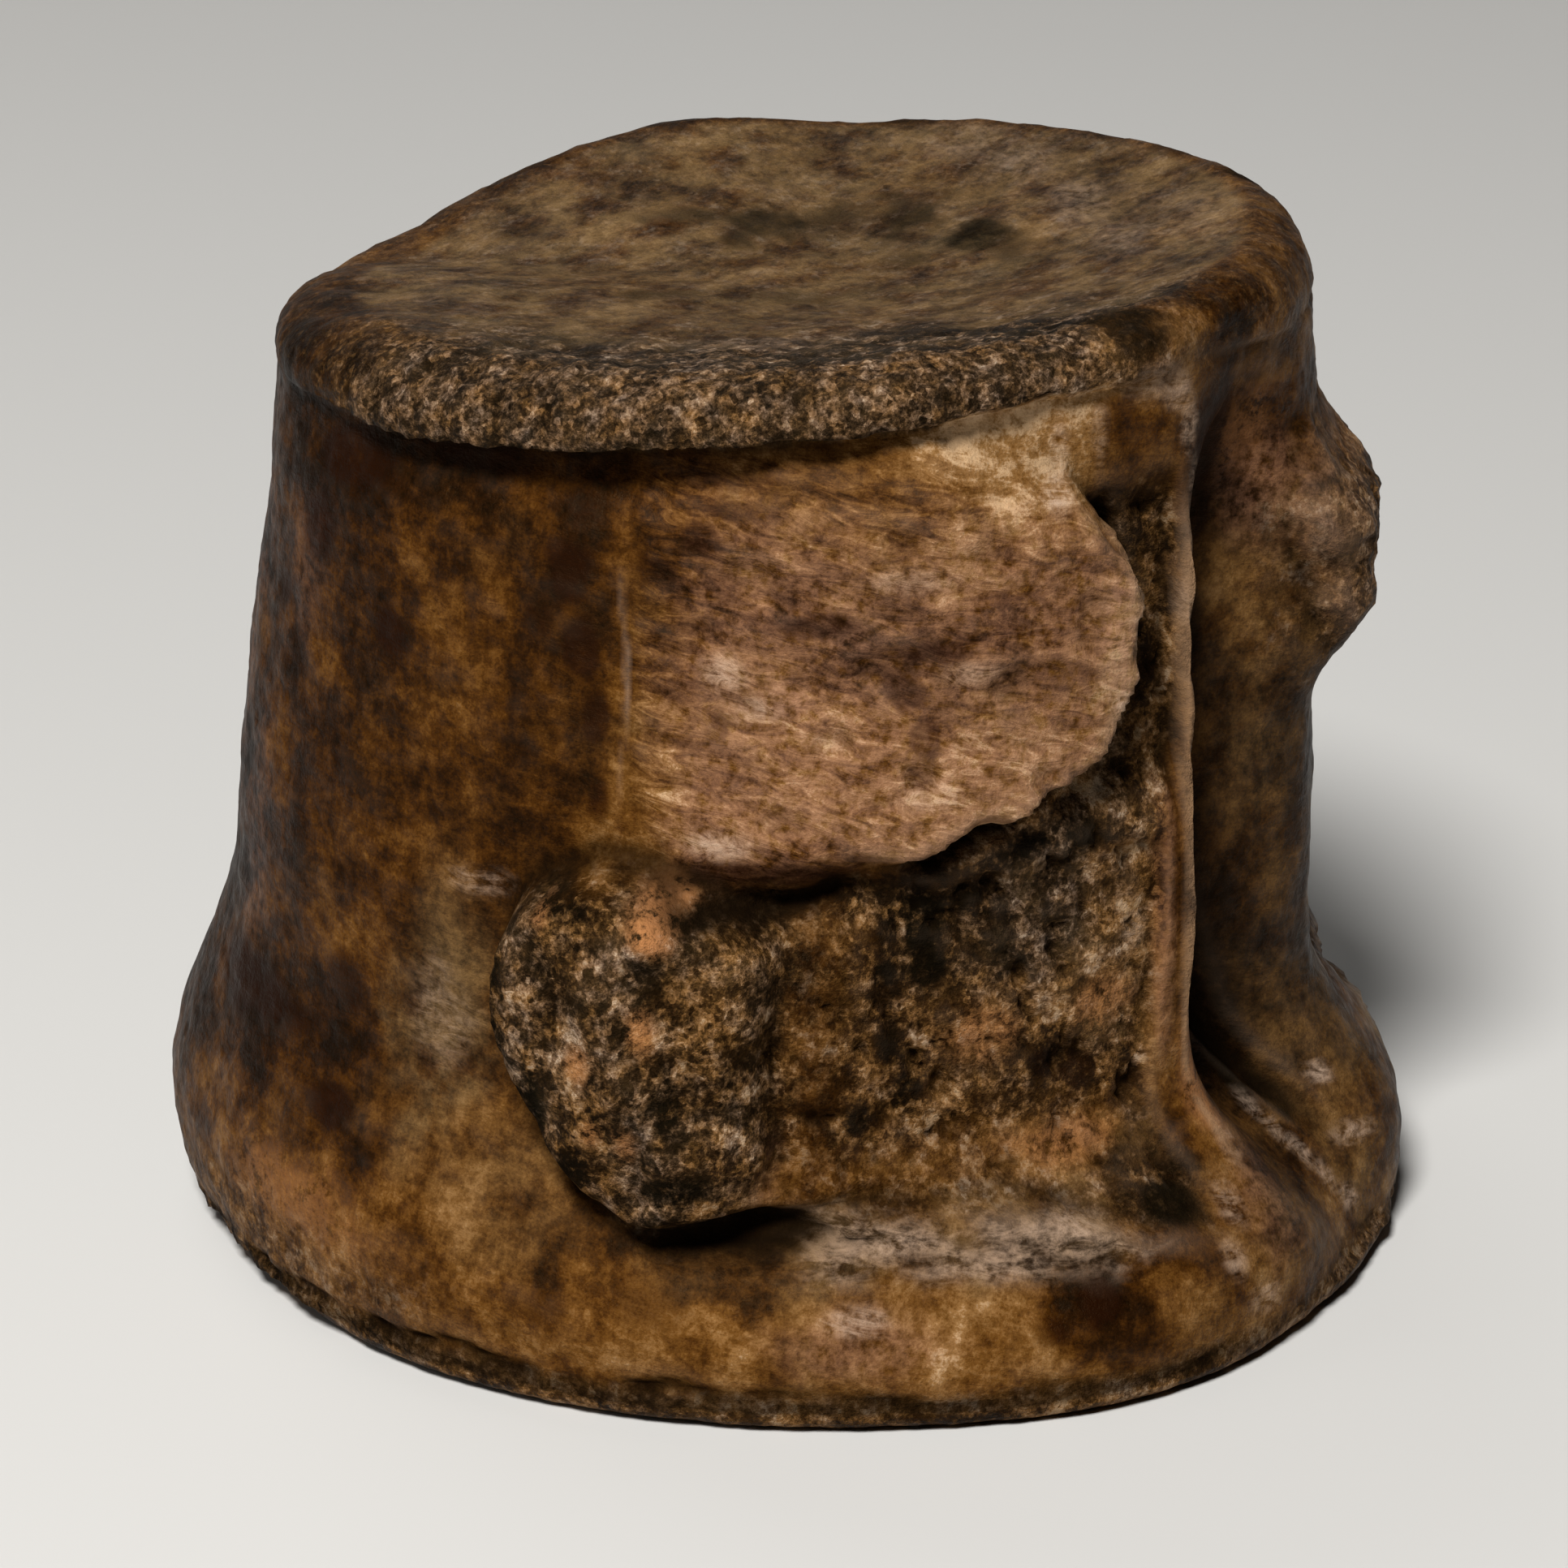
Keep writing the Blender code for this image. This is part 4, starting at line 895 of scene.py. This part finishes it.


# The finish reads the masks: a tone, moved by noise, picks the colour of smooth bone from a ramp, and a
# second ramp gives the grains of spongy bone. Stains, wear, painted highlights and painted shade are then
# mixed over both, one after the other.
def finishBone():
    made = Finish("fossil bone")
    look = boneFinish
    spongy, fibrous = made.mask("spongy"), made.mask("fibrous")
    slanted = made.stretch(look["streakStretch"], look["streakTurn"])
    streak = made.noise(look["streakSize"], 6, 0.72, 1.1, slanted)
    cloudy = made.noise(look["cloudSize"], 5, 0.62)
    fine = made.noise(look["fineSize"], 4, 0.65)
    dust = made.noise(look["dustSize"], 2, 0.7)
    crumbs = made.noise(look["speckSize"], 3, 0.75)

    # a colour laid over another, by a mask and a strength
    def cover(colour, maskName, strength, over):
        return made.mix(made.times(made.mask(maskName), strength), colour, over)

    # smooth bone: the painted tone, moved by clouds, streaks and fine grain
    frayed = made.plus(made.swing(cloudy, 1.2), made.swing(fine, 0.9))
    stainShare = made.steps(made.plus(made.mask("stain"), frayed), 0.15, 0.85)
    darkGreenAndShadeShare = made.steps(made.plus(made.mask("darkGreenAndShade"), frayed), 0.15, 0.85)
    darker = made.times(made.sums("MAXIMUM", stainShare, darkGreenAndShadeShare), -0.24)
    broad = made.swing(made.noise(look["broadSize"], 2), look["broadSwing"])
    clouds = made.plus(made.swing(cloudy, look["cloudSwing"]), broad)
    calm = made.sums("SUBTRACT", 1.0, made.times(fibrous, 0.4))
    tone = made.plus(made.mask("tone"), darker)
    tone = made.plus(tone, clouds, calm)
    tone = made.plus(tone, made.swing(streak, look["streakSwing"]), fibrous)
    tone = made.plus(tone, made.swing(fine, look["fineSwing"]), calm)
    tone = made.plus(tone, made.swing(dust, look["dustSwing"]), clamp=True)
    colour = made.ramp(tone, look["tones"])
    rosyShare = made.times(made.mask("rosy"), made.steps(fine, 0.3, 0.6))
    colour = made.mix(made.times(rosyShare, look["rosyShare"]), colour, made.mix(tone, *look["roses"]))
    greyShare = made.times(made.mask("grey"), made.steps(cloudy, 0.25, 0.6))
    greyed = made.mix(look["greyShare"], colour, made.mix(tone, *look["greys"]))
    colour = made.mix(greyShare, colour, greyed)

    # spongy places: grains from black through brown to cream
    clusters = made.noise(look["clusterSize"], 3, 0.6)
    clustered = made.sums("SUBTRACT", 1.0, made.times(made.mask("lip"), 0.6))
    speck = made.plus(0.26, made.swing(crumbs, look["crumbSwing"]))
    speck = made.plus(speck, made.swing(clusters, look["clusterSwing"]), clustered)
    speck = made.plus(speck, made.swing(made.specks(look["fineSpeckSize"]), look["fineSpeckSwing"]))
    speck = made.plus(speck, made.swing(dust, look["speckDustSwing"]))
    speck = made.plus(speck, made.mask("tone"), 0.72)
    speck = made.plus(speck, darker, 0.9, clamp=True)
    greyGrain = made.plus(made.times(made.mask("grey"), 0.8), made.swing(made.noise(0.5, 3), 1.8), clamp=True)
    grain = made.mix(greyGrain, made.ramp(speck, look["grains"]), made.ramp(speck, look["greyGrains"]))
    colour = cover(colour, "spongy", look["grainShare"], grain)

    # fine folds below the seat, cream on their crests, and rust
    foldLines = made.noise(look["foldSize"], 5, 0.7, 0.5, made.stretch(look["foldStretch"]))
    foldTone = made.steps(made.plus(foldLines, made.swing(fine, 0.4)), 0.38, 0.68)
    folded = made.mix(foldTone, look["foldDark"], look["foldCream"])
    colour = cover(colour, "folds", look["foldShare"], folded)
    rustShare = made.times(made.mask("rust"), made.steps(speck, 0.2, 0.62))
    colour = made.mix(made.times(rustShare, look["rustShare"]), colour, look["rust"])

    # wear and painted highlights, stains, and painted shade in hollows and sheltered places
    # pale wear, and painted highlights where the pale patches stand for glints and streaks of light
    paleAndHighlightShare = made.steps(made.plus(streak, made.swing(fine, 0.5)), 0.34, 0.72)
    colour = cover(colour, "pale", paleAndHighlightShare, look["cream"])
    # lighter edges: partly wear, partly painted highlight
    colour = cover(colour, "edge", look["edgeWearAndHighlightShare"], look["cream"])
    colour = cover(colour, "hairline", look["hairlineShare"], look["cream"])
    colour = cover(colour, "ridge", made.steps(cloudy, 0.25, 0.55), look["ridge"])
    veil = made.sums("SUBTRACT", 0.45, made.times(spongy, 0.3))
    colour = made.mix(made.times(stainShare, veil), colour, look["stain"])
    # dark green marks, and painted shade in crevices
    colour = made.mix(made.times(darkGreenAndShadeShare, veil), colour, look["darkGreenAndShade"])
    # painted shade in hollows
    colour = cover(colour, "hollow", look["hollowShadeShare"], look["dark"])
    # painted shade over the marked shaded places
    colour = cover(colour, "shade", look["shadeShare"], look["dark"])
    colour = made.mix(made.times(made.steps(dust, 0.58, 0.8), look["pitShare"]), colour, look["dark"])
    made.put(made.surface.inputs["Base Color"], colour)
    made.surface.inputs["Specular IOR Level"].default_value = look["shine"]
    made.surface.inputs["Specular Tint"].default_value = asLight(look["shineTint"])

    # roughness, highest in dark and sheltered places
    roughness = made.times(spongy, look["roughRoughness"] - look["smoothRoughness"])
    roughness = made.plus(roughness, made.swing(made.noise(0.4, 3), 0.5))
    roughness = made.plus(roughness, look["smoothRoughness"])
    dull = made.sums("MAXIMUM", made.mask("darkGreenAndShade"), made.mask("hollow"))
    dull = made.sums("MAXIMUM", made.mask("shade"), dull)
    made.put(made.surface.inputs["Roughness"], made.plus(roughness, dull, look["dullness"], clamp=True))

    # the finest relief
    relief = made.times(made.noise(look["bumpSize"], 3, 0.7), 0.5)
    relief = made.plus(relief, made.times(crumbs, spongy), 2.2)
    relief = made.plus(relief, streak, 0.9)
    relief = made.plus(relief, fine, 0.8)
    bump = made.tree.nodes.new("ShaderNodeBump")
    bump.inputs["Strength"].default_value = 0.8
    bump.inputs["Distance"].default_value = look["bumpHeight"] * millimetre
    made.put(bump.inputs["Height"], relief)
    made.put(made.surface.inputs["Normal"], bump.outputs["Normal"])
    return made.material


bone.data.materials.append(finishBone())
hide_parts("centrum")
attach(bone, "root")
print("finish set")


# A sheet that runs flat under the bone, turns up along a quarter circle, and goes on upright. The profile
# is carried along a straight line across the view.
def makeFloor():
    side = np.linspace(-studio["floorHalf"], studio["floorHalf"], 33)
    flatRun = np.linspace(-studio["floorHalf"], studio["floorBack"], 40)
    turn = np.linspace(0, math.pi / 2, 17)[1:]
    along = np.concatenate([flatRun, studio["floorBack"] + studio["riseRadius"] * np.sin(turn),
                            [studio["floorBack"] + studio["riseRadius"]] * 2])
    lift = np.concatenate([0 * flatRun, studio["riseRadius"] * (1 - np.cos(turn)),
                           [studio["riseRadius"] + 0.2, studio["riseHeight"]]])
    x, y = np.meshgrid(side, along)
    z = np.repeat(lift[:, None], len(side), axis=1)
    away = math.radians(studio["azimuth"])
    points = np.stack([x * math.cos(away) - y * math.sin(away), x * math.sin(away) + y * math.cos(away), z],
                      axis=-1)
    rows, columns = x.shape
    base = (np.arange(rows - 1) * columns)[:, None] + np.arange(columns - 1)
    quads = np.stack([base, base + 1, base + columns + 1, base + columns], -1).reshape(-1, 4)
    mesh = bpy.data.meshes.new("floor")
    mesh.from_pydata(points.reshape(-1, 3).tolist(), [], quads.tolist())
    mesh.shade_smooth()
    floor = bpy.data.objects.new("floor", mesh)
    bpy.context.scene.collection.objects.link(floor)
    made = Finish("pale floor")
    made.surface.inputs["Base Color"].default_value = asLight(studio["floorColour"])
    made.surface.inputs["Roughness"].default_value = studio["floorRoughness"]
    mesh.materials.append(made.material)


# Unit vector towards a place that many degrees round from the camera's side, and up: sine and cosine of the
# turn, both drawn in by the cosine of the rise.
def towards(aside, up):
    around = math.radians(studio["azimuth"] + aside)
    rise = math.radians(up)
    return Vector((math.sin(around) * math.cos(rise), -math.cos(around) * math.cos(rise), math.sin(rise)))


# A round lamp at a distance from the middle of the bone, turned to face it.
def makeLamp(name, aside, up, distance, size, watts):
    lamp = bpy.data.lights.new(name, "AREA")
    lamp.shape = "DISK"
    lamp.size = size
    lamp.energy = watts
    holder = bpy.data.objects.new(name, lamp)
    holder.location = Vector((0, 0, studio["lampAim"])) + towards(aside, up) * distance
    holder.rotation_euler = towards(aside, up).to_track_quat("Z", "Y").to_euler()
    bpy.context.scene.collection.objects.link(holder)


# The camera stands at the studio's distance from the aimed point and looks back at it.
def makeCamera():
    camera = bpy.data.cameras.new("camera")
    camera.sensor_width = studio["sensor"]
    camera.lens = studio["focalPixels"] / studio["picturePixels"] * studio["sensor"]
    camera.clip_start = 0.005
    camera.dof.use_dof = False
    holder = bpy.data.objects.new("camera", camera)
    back = towards(0, studio["elevation"])
    aside = towards(90, 0)
    aim = aside * studio["aimAside"] + Vector((0, 0, studio["aimHeight"]))
    holder.location = aim + back * studio["distance"]
    holder.rotation_euler = back.to_track_quat("Z", "Y").to_euler()
    bpy.context.scene.collection.objects.link(holder)
    bpy.context.scene.camera = holder


makeFloor()
for lampValues in studio["lamps"]:
    makeLamp(*lampValues)
makeCamera()
world = bpy.data.worlds.new("studio")
world.use_nodes = True
world.node_tree.nodes["Background"].inputs["Strength"].default_value = studio["world"]
bpy.context.scene.world = world
bpy.context.scene.view_settings.view_transform = "Standard"
print("floor, lamps and camera set")
